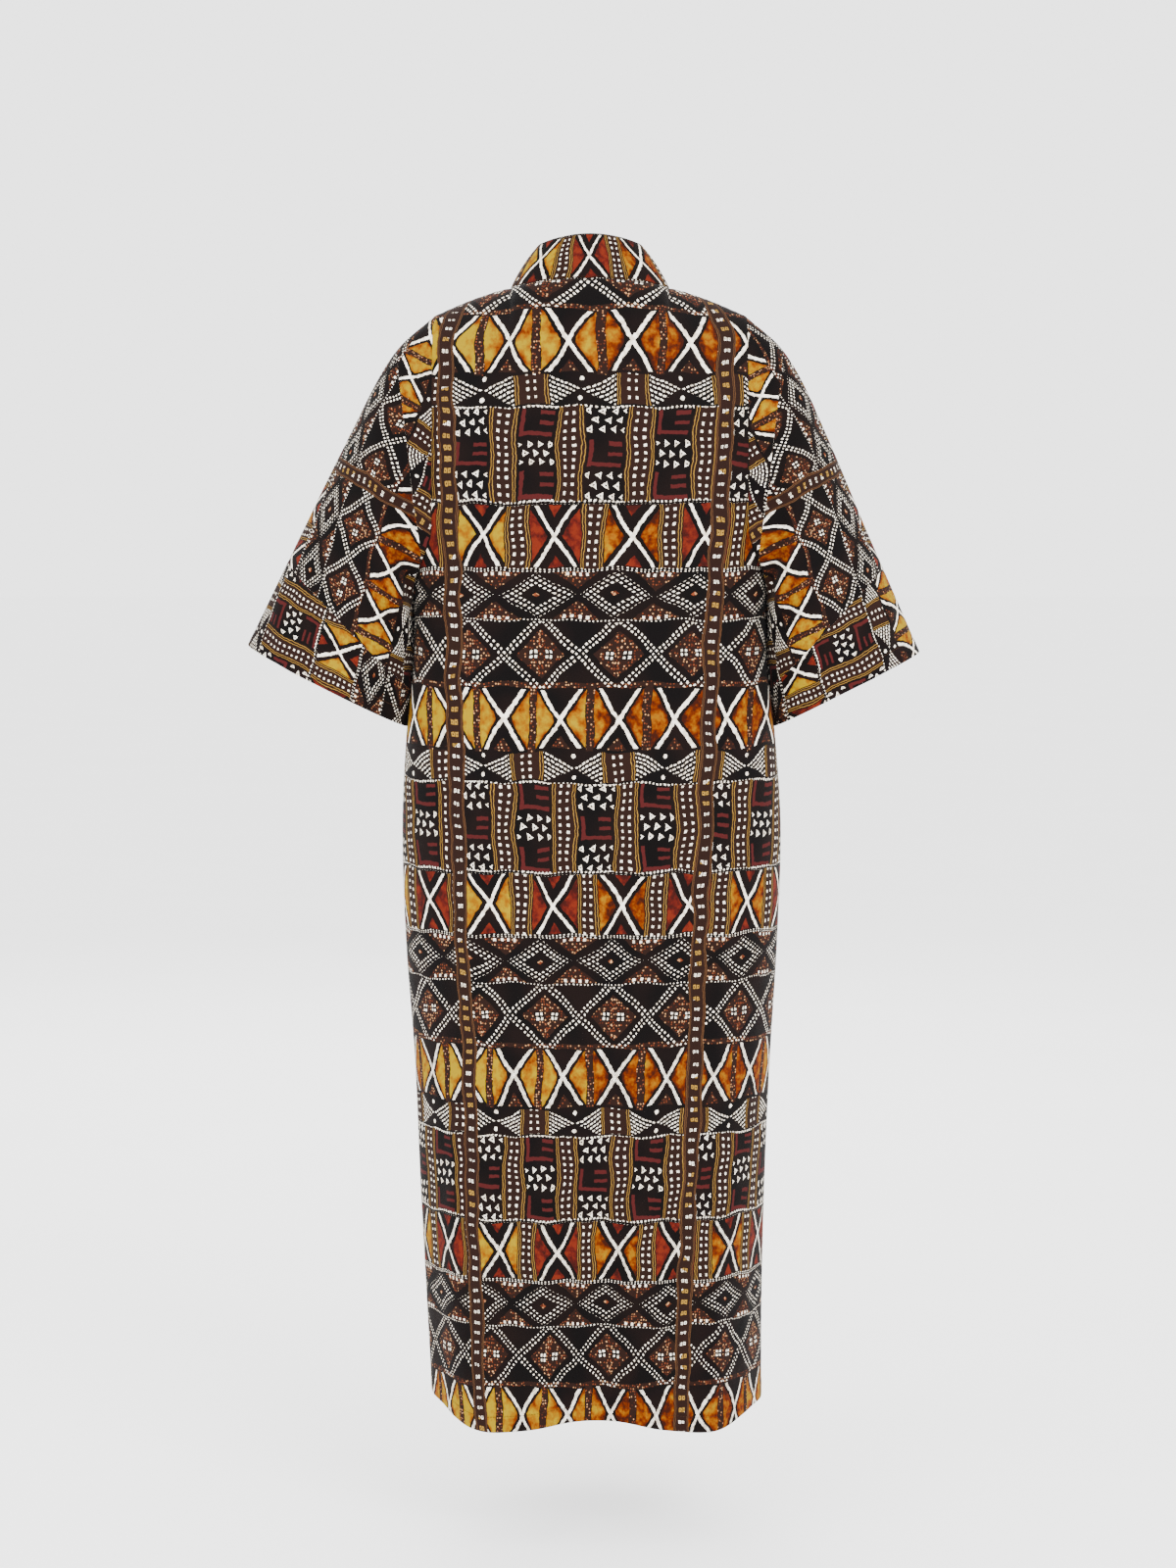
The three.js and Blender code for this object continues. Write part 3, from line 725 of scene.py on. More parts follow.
@dataclass
class BodyForm:
    """The robe's body: sections from hem to underarm, and a yoke that rolls over to the shoulders.

    Attributes:
        skirt_rows: rows from the hem to the underarm.
        yoke_rows: rows from the underarm to the shoulder.
        shoulder_columns: columns of a front, or of the back beside the neck.
        neck_columns: columns of half the back neck.
    """

    skirt_rows: int = 170
    yoke_rows: int = 72
    shoulder_columns: int = 44
    neck_columns: int = 24
    z: np.ndarray = field(init=False)
    rise: np.ndarray = field(init=False)

    def __post_init__(self) -> None:
        """Works out each row's height, section and side seam."""
        self.step = np.linspace(0, 1, self.yoke_rows + 1)[1:]
        self.rise = np.concatenate([np.zeros(self.skirt_rows + 1), (1 - np.cos(math.pi * self.step)) / 2])
        skirt = np.linspace(HEM_Z, UNDERARM_Z, self.skirt_rows + 1)
        self.z = np.concatenate([skirt, np.full(self.yoke_rows, UNDERARM_Z)])
        self.half = SECTIONS.read("half", self.z)
        armpit = np.sqrt(1 - (1 - np.minimum(self.rise / ARMPIT_SHARE, 1)) ** 2)
        self.side_turn = mix(math.pi / 2, turn_at(ARMHOLE_X, self.half), armpit)

    def place(
        self,
        face: Face,
        turn: np.ndarray,
        top: np.ndarray,
        roll: tuple[np.ndarray | float, np.ndarray | float],
        folds: Iterable[Fold],
    ) -> np.ndarray:
        """Points of the body in every row.

        Args:
            face: the back or the front.
            turn: rows by columns, the angle round the section.
            top: where each column ends, columns by 3 or rows by columns by 3.
            roll: fullness and roundness of the roll over to the shoulder.
            folds: the long folds of this face.

        Returns:
            Rows by columns by 3.
        """
        z, rise = self.z[:, None], self.rise[:, None]
        at = turn / (math.pi / 2)
        pushed = sum((fold.push(at, z) for fold in folds), np.zeros_like(turn))
        across = signed_power(np.sin(turn), 2 / SQUARENESS)
        away = np.maximum(np.cos(turn), 0) ** (2 / SQUARENESS)
        depth = SECTIONS.read(face.name.lower(), self.z)[:, None]
        x = SECTIONS.read("sway", z) + (self.half[:, None] + pushed * np.abs(across)) * across
        y = face.value * (depth + pushed) * away
        grown = smooth((HEM_DROP_TOP - z) / (HEM_DROP_TOP - HEM_Z))
        falls = [fall for fall in HEM_DROPS if face is Face.BACK or abs(fall[0]) == 1]
        drop = sum(fall * grown * bump(at - middle, width) for middle, width, fall in falls)
        over = np.maximum(1 - rise ** roll[0], 0) ** (1 / roll[1])
        ends = np.broadcast_to(top[..., 1], y.shape)
        if face is Face.BACK:
            # Only the highest rows follow the corners where the neckline meets the shoulder seams
            kernel = bump(np.linspace(-1, 1, 2 * CORNER_COLUMNS + 1), 1.0)
            padded = np.pad(top[:, 1], CORNER_COLUMNS, mode="edge")
            softened = np.convolve(padded, kernel / kernel.sum(), mode="valid")
            ends = mix(softened, top[:, 1], smooth((rise - 0.8) / 0.2))
        y = np.where(rise > 0, ends + (y - ends) * over, y)
        z = np.where(rise > 0, mix(UNDERARM_Z, top[..., 2], rise), z - drop)
        return np.stack([x, y, z], -1)

    def back(self) -> np.ndarray:
        """The back's points, column by column from the right side seam to the left."""
        half, side = self.half[-1], self.side_turn[-1]
        neck = turn_at(NECK_X, half) / side
        beside = np.linspace(neck, 1, self.shoulder_columns + 1)[1:]
        share = np.concatenate([np.linspace(0, neck, self.neck_columns + 1), beside])
        share = np.concatenate([-share[:0:-1], share])
        x = half * signed_power(np.sin(share * side), 2 / SQUARENESS)
        in_neck = (np.abs(x) < NECK_X - 1e-6)[:, None]
        top = np.where(in_neck, nape_points(x), shoulder_points(x))
        beside_neck = smooth(np.abs(x) / NECK_X)
        roll = tuple(mix(a, b, beside_neck) for a, b in zip(ROLL_NAPE, ROLL_SHOULDER))
        return self.place(Face.BACK, share[None] * self.side_turn[:, None], top, roll, BACK_FOLDS)

    def seam_turn(self) -> np.ndarray:
        """The angle of the front edge in each row, where the neckband is sewn on."""
        low = FRONT_EDGE.read("seam", self.z)
        high = mix(FRONT_EDGE.read("seam", UNDERARM_Z), NECK_X, smooth(self.rise))
        return turn_at(np.where(self.rise > 0, high, low), self.half)

    def front(self, side: Side) -> np.ndarray:
        """A front's points, column by column from its front edge to the side seam."""
        share = np.linspace(0, 1, self.shoulder_columns + 1)
        seam = self.seam_turn()
        top_turn = mix(seam[-1], self.side_turn[-1], share)
        top = shoulder_points(side.value * self.half[-1] * np.sin(top_turn) ** (2 / SQUARENESS))
        beside_neck = smooth(share * 1.4)
        roll = tuple(mix(a, b, beside_neck) for a, b in zip(ROLL_COLLARBONE, ROLL_SHOULDER))
        turn = side.value * mix(seam[:, None], self.side_turn[:, None], share[None])
        return self.place(Face.FRONT, turn, top, roll, FRONT_FOLDS)

    def band_front(self, side: Side, front: np.ndarray, steps: int) -> np.ndarray:
        """The neckband along one front, from the hem to the neck point, before it is bowed."""
        seam = front[:, 0]
        share = np.linspace(0, 1, steps + 1)
        free_low = turn_at(FRONT_EDGE.read("free", self.z), self.half)
        turn = side.value * mix(self.seam_turn()[:, None], free_low[:, None], share[None])
        low = self.place(Face.FRONT, turn, np.zeros(3), ROLL_SHOULDER, FRONT_FOLDS)
        free_high = side.value * turn_at(np.abs(seam[:, 0]) - BAND_WIDTH, self.half)[:, None]
        top = shoulder_points(seam[:, 0])[:, None]
        laid = self.place(Face.FRONT, free_high, top, ROLL_COLLARBONE, ())[:, 0]
        start = unit(low[self.skirt_rows, -1] - seam[self.skirt_rows])
        flat = unit(mix(start, unit(laid - seam), smooth(self.rise * 4)[:, None]))
        stand = smooth((self.rise - BAND_STAND_FROM) / (1 - BAND_STAND_FROM))[:, None]
        lean = unit(mix(flat, NECK_LEAN * [side.value, 1, 1], stand))
        high = seam[:, None] + lean[:, None] * (BAND_WIDTH * share)[None, :, None]
        return np.where(self.rise[:, None, None] > 0, high, low)

    def band_nape(self, back: np.ndarray, steps: int) -> np.ndarray:
        """The neckband behind the neck, from the right neck point to the left, before it is bowed."""
        middle = back.shape[1] // 2
        seam = back[-1, middle - self.neck_columns : middle + self.neck_columns + 1]
        aside = np.clip(seam[:, 0] / NECK_X, -1, 1)
        away = np.sqrt(1 - aside**2)
        lean = np.stack(
            [
                NECK_LEAN[0] * aside,
                mix(NECK_LEAN[1], NAPE_LEAN_Y, away),
                mix(NECK_LEAN[2], NAPE_LEAN_Z, away),
            ],
            -1,
        )
        share = np.linspace(0, BAND_WIDTH, steps + 1)
        return seam[:, None] + unit(lean)[:, None] * share[None, :, None]

    def sleeve(self, side: Side, back: np.ndarray, front: np.ndarray, steps: int) -> np.ndarray:
        """A sleeve's points, ring by ring from the armhole to the cuff.

        Each ring starts at the underarm and runs up the back, over the shoulder and down the front.
        """
        yoke = slice(self.skirt_rows, None)
        back_edge = back[yoke, -1 if side is Side.LEFT else 0]
        front_edge = front[yoke, -1]
        seam = np.concatenate([back_edge, front_edge[-2::-1]])
        angle = math.pi * np.concatenate([[1.0], 1 - self.step, -(1 - self.step[-2::-1]), [-1.0]])
        along = np.linspace(0, 1, steps + 1)[:, None]
        rise = (1 + np.cos(angle)) / 2
        read = {name: SLEEVE_RINGS.read(name, along) for name in SLEEVE_RINGS.columns}
        first = {name: SLEEVE_RINGS.read(name, 0.0) for name in SLEEVE_RINGS.columns}
        armhole = 1 - smooth(along / ARMHOLE_FADE)
        seam_x = np.abs(seam[:, 0]) - mix(first["low_x"], first["top_x"], rise)
        seam_z = seam[:, 2] - mix(first["low_z"], first["top_z"], rise)
        depth = read["depth"] * np.sin(angle)
        folded = sum(
            push * smooth(1 - rise / reach) * smooth(rise * 7) * bump(along - at, width)
            for at, width, push, reach in SLEEVE_FOLDS
        )
        x = mix(read["low_x"], read["top_x"], rise) + seam_x * armhole
        y = mix(depth + np.sign(depth) * folded, seam[:, 1], armhole)
        z = mix(read["low_z"], read["top_z"], rise) + seam_z * armhole
        swing = math.radians(SLEEVE_SWING[side]) * smooth(along * 1.5) * rise
        dx, dz = x - first["top_x"], z - first["top_z"]
        x = first["top_x"] + dx * np.cos(swing) - dz * np.sin(swing)
        z = first["top_z"] + dx * np.sin(swing) + dz * np.cos(swing)
        return np.stack([side.value * x, y, z], -1)


def print_place(points: np.ndarray, across: np.ndarray, rise: np.ndarray) -> np.ndarray:
    """The place in the print of each point of a body panel.

    The print's rows lie level on the robe, and near the shoulders they follow the cloth's roll.

    Args:
        points: rows by columns by 3, hem first.
        across: rows by columns, the distance along the cloth from the middle plane.
        rise: each row's share of the yoke's height.

    Returns:
        Rows by columns by 2, in millimetres of cloth.
    """
    height = points[..., 2].copy()
    follow = ROLL_FOLLOWED * smooth((rise - ROLL_START) / 0.2)[1:, None]
    step = np.diff(points, axis=0)
    extra = np.sqrt(step[..., 2] ** 2 + (follow * step[..., 1]) ** 2) - np.abs(step[..., 2])
    height[1:] += np.cumsum(extra, axis=0)
    repeat = PRINT_ROWS.read("repeat", height)
    scale = PRINT_DRIFT.read("scale", repeat)
    u = -(across - PRINT_DRIFT.read("middle", repeat)) / scale / MM
    return np.stack([u, repeat * REPEAT], -1)


def across_cloth(points: np.ndarray, start: int) -> np.ndarray:
    """Distances along each row of points from one of its columns, positive after that column."""
    reach = running(spans(points[..., :2], 1), 1)
    return reach - reach[:, [start]]


def crease_push(creases: Iterable[Crease], across: np.ndarray, up: np.ndarray) -> np.ndarray:
    """The sum of what creases push out at each place."""
    return sum((crease.push(across, up) for crease in creases), np.zeros_like(across))


def sewn_with_hem(hem: Edge) -> dict[Edge, Join]:
    """What happens at a panel's edges when one is hemmed and the others are seams."""
    return {edge: Join.HEM if edge is hem else Join.SEAM for edge in Edge}


@dataclass
class Robe:
    """The whole garment: it makes every panel's surface and its place in the print.

    Attributes:
        form: the body's form.
        sleeve_steps: rings of a sleeve.
        band_steps: columns across the neckband.
    """

    form: BodyForm = field(default_factory=BodyForm)
    sleeve_steps: int = 76
    band_steps: int = 12

    def __post_init__(self) -> None:
        """Works out the points that the panels share."""
        self.back_points = self.form.back()
        self.front_points = {side: self.form.front(side) for side in Side}

    def back(self) -> Panel:
        """The back, with no centre seam."""
        points = self.back_points
        across = across_cloth(points, points.shape[1] // 2)
        cloth = print_place(points, across, self.form.rise)
        creases = crease_push(BACK_CREASES, points[..., 0], points[..., 2])
        return Panel("back_panel", points, cloth, False, sewn_with_hem(Edge.FIRST_ROW), creases=creases)

    def front(self, side: Side) -> Panel:
        """One front, from the neckband to the side seam."""
        points = self.front_points[side]
        across = side.value * (across_cloth(points, 0) + np.abs(points[:, :1, 0]))
        cloth = print_place(points, across, self.form.rise)
        creases = crease_push(FRONT_CREASES, points[..., 0], points[..., 2])
        name, joins = f"front_panel_{side.word}", sewn_with_hem(Edge.FIRST_ROW)
        return Panel(name, points, cloth, side is Side.LEFT, joins, creases=creases)

    def sleeve(self, side: Side) -> Panel:
        """One sleeve, sewn into the armhole and closed by an underarm seam."""
        points = self.form.sleeve(side, self.back_points, self.front_points[side], self.sleeve_steps)
        middle = points.shape[1] // 2
        top = points[:, middle]
        axis = unit((top[-1] - top[0]) * [1, 0, 1])
        down = np.array([-side.value * abs(axis[2]), 0, -abs(axis[0])])
        step = np.diff(points, axis=1)
        depth = running(np.hypot(step @ down, step[..., 1]), 1)
        depth = (depth[:, [middle]] - depth) + (top - top[0]) @ down.reshape(3, 1)
        along = (points - top[0]) @ axis
        drawn = SLEEVE_PRINTS[side]
        u = (along / MM - drawn.stripe_at) / drawn.scale + STRIPE_AT
        slanted = drawn.slant * (along / MM - drawn.stripe_at)
        v = drawn.row + (depth / MM - drawn.row_depth - slanted) / drawn.scale
        grids = (points, np.stack([u, v], -1), crease_push(SLEEVE_CREASES, along, -np.abs(depth)))
        points, cloth, creases = self.cut_strips(grids, along[:, middle] / MM, drawn.strips)
        name, joins = f"sleeve_panel_{side.word}", sewn_with_hem(Edge.LAST_ROW)
        return Panel(name, points, cloth, side is Side.LEFT, joins, creases=creases)

    def cut_strips(
        self, grids: Sequence[np.ndarray], rings: np.ndarray, strips: Sequence[Strip]
    ) -> Sequence[np.ndarray]:
        """Moves the print in the strips beside the armhole and the cuff of a sleeve.

        Args:
            grids: the points, their places in the print, and their creases.
            rings: the place of each ring along the sleeve's top line, in millimetres.
            strips: the two strips.

        Returns:
            The grids with the print moved, and with a ring more at the border of each strip.
        """
        for border in (strips[0].end, strips[1].start):
            cut = int(np.searchsorted(rings, border))
            grids = [np.insert(a, cut, mix(a[cut - 1], a[cut], STRIP_BORDER), 0) for a in grids]
            rings = np.insert(rings, cut, border)
        for strip in strips:
            grids[1][(rings >= strip.start) & (rings < strip.end)] += strip.shift
        return grids

    def neckband(self) -> Panel:
        """The folded neckband in one length, from the left front's hem round the neck to the right's."""
        fronts = self.front_points.items()
        left, right = (self.form.band_front(side, points, self.band_steps) for side, points in fronts)
        nape = self.form.band_nape(self.back_points, self.band_steps)
        points = np.concatenate([left, nape[-2:0:-1], right[::-1]])
        rise = np.concatenate([self.form.rise, np.ones(len(nape) - 2), self.form.rise[::-1]])
        share = np.linspace(0, 1, self.band_steps + 1)
        joins = {
            Edge.FIRST_COLUMN: Join.SEAM,
            Edge.LAST_COLUMN: Join.FOLD,
            Edge.FIRST_ROW: Join.FOLD,
            Edge.LAST_ROW: Join.FOLD,
        }
        cloth = np.zeros((*points.shape[:2], 2))
        panel = Panel("neckband", points, cloth, False, joins, layer=BAND_LAYER)
        bow = BAND_BULGE * 4 * share * (1 - share) * smooth(rise)[:, None]
        panel.points = points + panel.normals() * bow[..., None]
        run = running(spans(points[:, 0]))
        u = (run - run[len(run) // 2])[:, None] / MM * BAND_PRINT_SCALE + BAND_MOTIF
        v = BAND_ROW - (share - 0.5)[None] * BAND_WIDTH / MM * BAND_PRINT_SCALE
        panel.cloth = np.stack(np.broadcast_arrays(u, v), -1)
        return panel


class Wire:
    """A number that varies over the surface: an output socket, with arithmetic that adds nodes."""

    def __init__(self, tree: bpy.types.NodeTree, socket: bpy.types.NodeSocket) -> None:
        """Wraps an output socket of a node tree."""
        self.tree = tree
        self.socket = socket

    def math(self, operation: str, *others: "Wire | float") -> "Wire":
        """Adds a Math node.

        Args:
            operation: the node's operation.
            others: its second and third inputs.

        Returns:
            The node's output.
        """
        node = self.tree.nodes.new("ShaderNodeMath")
        node.operation = operation
        for socket, value in zip(node.inputs, (self, *others)):
            connect(self.tree, value, socket)
        return Wire(self.tree, node.outputs[0])

    def __add__(self, other: "Wire | float") -> "Wire":
        """The sum."""
        return self.math("ADD", other)

    def __radd__(self, other: float) -> "Wire":
        """The sum with a number before it."""
        return self.math("ADD", other)

    def __sub__(self, other: "Wire | float") -> "Wire":
        """The difference."""
        return self.math("SUBTRACT", other)

    def __rsub__(self, other: float) -> "Wire":
        """A number less this one."""
        return (self * -1.0).math("ADD", other)

    def __mul__(self, other: "Wire | float") -> "Wire":
        """The product."""
        return self.math("MULTIPLY", other)

    def __truediv__(self, other: "Wire | float") -> "Wire":
        """The quotient."""
        return self.math("DIVIDE", other)

    def __lt__(self, other: "Wire | float") -> "Wire":
        """1 where this is less, otherwise 0."""
        return self.math("LESS_THAN", other)

    def __gt__(self, other: "Wire | float") -> "Wire":
        """1 where this is greater, otherwise 0."""
        return self.math("GREATER_THAN", other)

    def __and__(self, other: "Wire") -> "Wire":
        """1 where both masks are 1."""
        return self.math("MULTIPLY", other)

    def __or__(self, other: "Wire") -> "Wire":
        """1 where either mask is 1."""
        return self.math("MAXIMUM", other)

    def __abs__(self) -> "Wire":
        """The size without the sign."""
        return self.math("ABSOLUTE")

    def fract(self) -> "Wire":
        """The part after the point."""
        return self.math("FRACT")

    def floor(self) -> "Wire":
        """The whole part."""
        return self.math("FLOOR")

    def odd(self) -> "Wire":
        """1 where a whole number is odd, 0 where it is even."""
        return (self * 0.5).fract() * 2.0

    def near(self, pitch: float, half: "Wire | float") -> "Wire":
        """1 within half of the middles of equal cells, otherwise 0."""
        return abs((self * (1 / pitch)).fract() - 0.5) < half / pitch


def connect(tree: bpy.types.NodeTree, value: object, socket: bpy.types.NodeSocket) -> None:
    """Links a wire or a socket to an input, or sets the input to a plain value."""
    if isinstance(value, Wire):
        value = value.socket
    if isinstance(value, bpy.types.NodeSocket):
        tree.links.new(value, socket)
    else:
        socket.default_value = value


def add_node(
    tree: bpy.types.NodeTree, kind: str, settings: dict | None = None, **inputs: object
) -> bpy.types.Node:
    """Adds a node.

    Args:
        tree: the tree to add it to.
        kind: the node's type.
        settings: its properties.
        inputs: values or sockets for its inputs, with _ for a space in a name.

    Returns:
        The node.
    """
    node = tree.nodes.new(kind)
    for name, value in (settings or {}).items():
        setattr(node, name, value)
    for name, value in inputs.items():
        connect(tree, value, node.inputs[name.replace("_", " ")])
    return node


def new_group(name: str, inputs: dict[str, str], outputs: dict[str, str]) -> tuple:
    """Makes a node group.

    Args:
        name: the group's name.
        inputs: socket types by name.
        outputs: socket types by name.

    Returns:
        The group's tree, its inner input node and its inner output node.
    """
    tree = bpy.data.node_groups.new(name, "ShaderNodeTree")
    for label, kind in inputs.items():
        tree.interface.new_socket(name=label, in_out="INPUT", socket_type=kind)
    for label, kind in outputs.items():
        tree.interface.new_socket(name=label, in_out="OUTPUT", socket_type=kind)
    return tree, tree.nodes.new("NodeGroupInput"), tree.nodes.new("NodeGroupOutput")


def flat_noise(
    tree: bpy.types.NodeTree, place: bpy.types.NodeSocket, size: float, detail: float, **inputs: object
) -> bpy.types.Node:
    """Adds a noise over the cloth.

    Args:
        tree: the tree to add it to.
        place: the place in the cloth.
        size: of its features, in millimetres.
        detail: how many finer layers it has.
        inputs: values for its other inputs.

    Returns:
        The node.
    """
    settings = {"noise_dimensions": "2D"}
    return add_node(
        tree, "ShaderNodeTexNoise", settings, Vector=place, Scale=1 / size, Detail=detail, **inputs
    )


def new_material(name: str) -> tuple[bpy.types.Material, bpy.types.NodeTree, bpy.types.Node]:
    """Makes a material and gives it with its tree and its Principled BSDF."""
    material = bpy.data.materials.new(name)
    material.use_nodes = True
    return material, material.node_tree, material.node_tree.nodes["Principled BSDF"]


def ramp(
    tree: bpy.types.NodeTree, at: Wire, stops: Sequence[tuple], blend: str = "LINEAR"
) -> bpy.types.Node:
    """Adds a colour ramp.

    Args:
        tree: the tree to add it to.
        at: where to read it, from 0 to 1.
        stops: place and red, green, blue, with or without alpha.
        blend: the way between two stops.

    Returns:
        The node.
    """
    node = add_node(tree, "ShaderNodeValToRGB", Fac=at)
    band = node.color_ramp
    band.interpolation = blend
    band.elements.remove(band.elements[-1])
    band.elements[0].position = stops[0][0]
    for place, *_ in stops[1:]:
        band.elements.new(place)
    for element, (_, *colour) in zip(band.elements, stops):
        element.color = (*colour[:3], colour[3] if len(colour) > 3 else 1.0)
    return node


def srgb(code: str) -> tuple[float, float, float]:
    """Linear red, green and blue of a colour written as six hexadecimal digits."""
    values = [int(code[i : i + 2], 16) / 255 for i in (0, 2, 4)]
    return tuple(v / 12.92 if v <= 0.04045 else ((v + 0.055) / 1.055) ** 2.4 for v in values)


@dataclass(frozen=True)
class Row:
    """One row of the print, in millimetres.

    Attributes:
        height: the row's height.
        period: distance between two motifs.
        centre: place of one motif's middle, from the middle of the print.
        panel: half the width of the dotted panel between two motifs, or 0.
    """

    height: float
    period: float
    centre: float
    panel: float


class Motif(Enum):
    """The rows of one repeat of the print, from the top."""

    GOLD_CROSSES = Row(76.8, 75.0, -26.0, 0.0)
    BOW_TIES = Row(37.5, 121.0, -10.0, 22.0)
    COMBS = Row(112.4, 82.5, 20.0, 17.0)
    RED_CROSSES = Row(79.5, 94.0, -37.0, 15.5)
    LOZENGES = Row(60.3, 100.0, 41.0, 0.0)
    LATTICE = Row(79.9, 97.5, -3.4, 0.0)


@dataclass(frozen=True)
class Inks:
    """The colours of the print, as six hexadecimal digits.

    Attributes:
        black: the ground.
        umber: its browner places.
        brown: the specked grounds, the panels and the upright stripes.
        maroon: the combs.
        cream: the resist lines and dots.
        dim: their duller places.
        line: the double lines of the panels, and the stripes' tinted squares.
        edge: the thin lines of the upright stripes.
        reds: from dark to bright.
        golds: from dark orange to yellow.
        specks: the small dabbed dots, from dark to light.
    """

    black: str = "080606"
    umber: str = "100908"
    brown: str = "1d100c"
    maroon: str = "3a1313"
    cream: str = "f3ebdc"
    dim: str = "c6b9a6"
    line: str = "846428"
    edge: str = "49301c"
    reds: tuple[str, ...] = ("2a0c09", "43100b", "561a0c")
    golds: tuple[str, ...] = ("2a0d05", "541c00", "6e3c00", "785400", "826a00")
    specks: tuple[str, ...] = ("35150c", "66301a", "a87c54")


class StripPrint:
    """The printed pattern: rows of traditional strip-cloth motifs with two upright stripes."""

    WIDEST = 128.0  # the lookup of rows holds lengths as shares of this
    WANDER = (9.0, 7.5)  # how far the drawn lines drift across and down
    TREMBLE = 2.2  # how far they shake

    def __init__(self, inks: Inks) -> None:
        """Makes the node group.

        Args:
            inks: the print's colours.
        """
        self.inks = inks
        sockets = {"Color": "NodeSocketColor", "White": "NodeSocketFloat"}
        self.tree, inside, self.out = new_group("Strip cloth print", {"Place": "NodeSocketVector"}, sockets)
        self.place = inside.outputs["Place"]
        self.draw()

    def split(self, socket: bpy.types.NodeSocket, kind: str = "ShaderNodeSeparateXYZ") -> list[Wire]:
        """Splits a vector or a colour into three wires."""
        node = add_node(self.tree, kind)
        self.tree.links.new(socket, node.inputs[0])
        return [Wire(self.tree, out) for out in node.outputs[:3]]

    def lookup(self, at: Wire, values: Sequence[Sequence[float]]) -> list[Wire]:
        """Reads four numbers for the row of the print at a place in the repeat."""
        start, stops = 0.0, []
        for motif, numbers in zip(Motif, values):
            stops.append((start / REPEAT, *numbers))
            start += motif.value.height
        node = ramp(self.tree, at, stops, "CONSTANT")
        alpha = Wire(self.tree, node.outputs["Alpha"])
        return [*self.split(node.outputs["Color"], "ShaderNodeSeparateColor"), alpha]

    def uneven(self, size: float, detail: float) -> list[Wire]:
        """Three numbers from 0 to 1 that wander over the cloth, with features of a size."""
        noise = flat_noise(self.tree, self.place, size, detail)
        return self.split(noise.outputs["Color"], "ShaderNodeSeparateColor")

    def set_out(self) -> None:
        """Works out where each place of the cloth lies in its row and its motif."""
        mottle = flat_noise(self.tree, self.place, 17.0, 3.0, Roughness=0.62)
        self.mottle = Wire(self.tree, mottle.outputs["Fac"])
        self.coarse = coarse = self.uneven(46.0, 0.0)
        self.fine = fine = self.uneven(6.5, 1.0)
        flat_u, flat_v, _ = self.split(self.place)
        self.u, self.v = (
            flat + (drift - 0.5) * wander + (shake - 0.5) * self.TREMBLE
            for flat, drift, shake, wander in zip((flat_u, flat_v), coarse, fine, self.WANDER)
        )
        repeat = (self.v / REPEAT).fract()
        heights = [motif.value.height for motif in Motif]
        starts = np.concatenate([[0.0], np.cumsum(heights)[:-1]])
        sizes = [
            (
                motif.value.period / self.WIDEST,
                (motif.value.centre / motif.value.period) % 1.0,
                (start + motif.value.height / 2) / REPEAT,
                motif.value.panel / self.WIDEST,
            )
            for motif, start in zip(Motif, starts)
        ]
        period, phase, middle, panel = self.lookup(repeat, sizes)
        period, self.panel = period * self.WIDEST, panel * self.WIDEST
        is_one = np.eye(len(Motif))
        halves = [height / 2 / self.WIDEST for height in heights]
        first = self.lookup(repeat, [row[:4] for row in is_one])
        last = self.lookup(repeat, [(*row[4:], half, 1.0) for row, half in zip(is_one, halves)])
        self.on = dict(zip(Motif, (*first, *last[:2])))
        half_height = last[2] * self.WIDEST
        along = self.u / period - phase + 0.5
        self.cell = along.floor()
        self.x = (along - self.cell - 0.5) * period
        self.y = (repeat - middle) * REPEAT
        self.ax, self.ay = abs(self.x), abs(self.y)
        self.aside = period * 0.5 - self.ax
        self.border = half_height - self.ay

    def draw(self) -> None:
        """Draws the print from the ground up."""
        self.set_out()
        coarse, fine = self.coarse, self.fine
        strokes, gold, red, dark = self.crosses()
        panel_ground, panel_dots, panel_lines = self.panels()
        blocks_maroon, blocks_white = self.combs()
        lozenge_white, lozenge_brown, lozenge_speck = self.lozenges()
        lattice_white, lattice_brown, lattice_pips = self.lattice()
        stripe, stripe_dots, stripe_lines = self.stripes()
        divider = (self.aside < 5.0 + (fine[2] - 0.5) * 3.0) & self.on[Motif.GOLD_CROSSES]
        edged = self.on[Motif.RED_CROSSES] | self.on[Motif.LOZENGES] | self.on[Motif.COMBS]
        edge_dots = (abs(self.border - 1.2) < 0.65) & self.u.near(5.3, 0.85) & edged

        specked = lozenge_brown | lattice_brown | divider | dark
        brown = panel_ground | specked
        white = strokes | panel_dots | blocks_white | lozenge_white | lattice_white
        white = white | self.bow_ties() | edge_dots
        speck = (specked & self.specks()) | lozenge_speck | lattice_pips
        plain = 1.0 - stripe
        colour = self.ground(coarse[2])
        colour = self.paint(colour, brown & plain, self.inks.brown)
        colour = self.paint(colour, blocks_maroon & plain, self.inks.maroon)
        colour = self.paint(colour, red & plain, self.reds())
        colour = self.paint(colour, gold & plain, self.golds())
        colour = self.paint(colour, panel_lines & plain, self.inks.line)
        colour = self.paint(colour, stripe, self.inks.brown)
        colour = self.paint(colour, speck & plain, self.speck_colour)
        colour = self.paint(colour, stripe_lines, self.inks.edge)
        all_white = (white & plain) | stripe_dots
        colour = self.paint(colour, all_white, self.whites())
        # Some of the stripes' squares are tinted
        colour = self.paint(colour, stripe_dots & (coarse[2] > 0.57), self.inks.line)
        connect(self.tree, colour, self.out.inputs["Color"])
        connect(self.tree, all_white, self.out.inputs["White"])

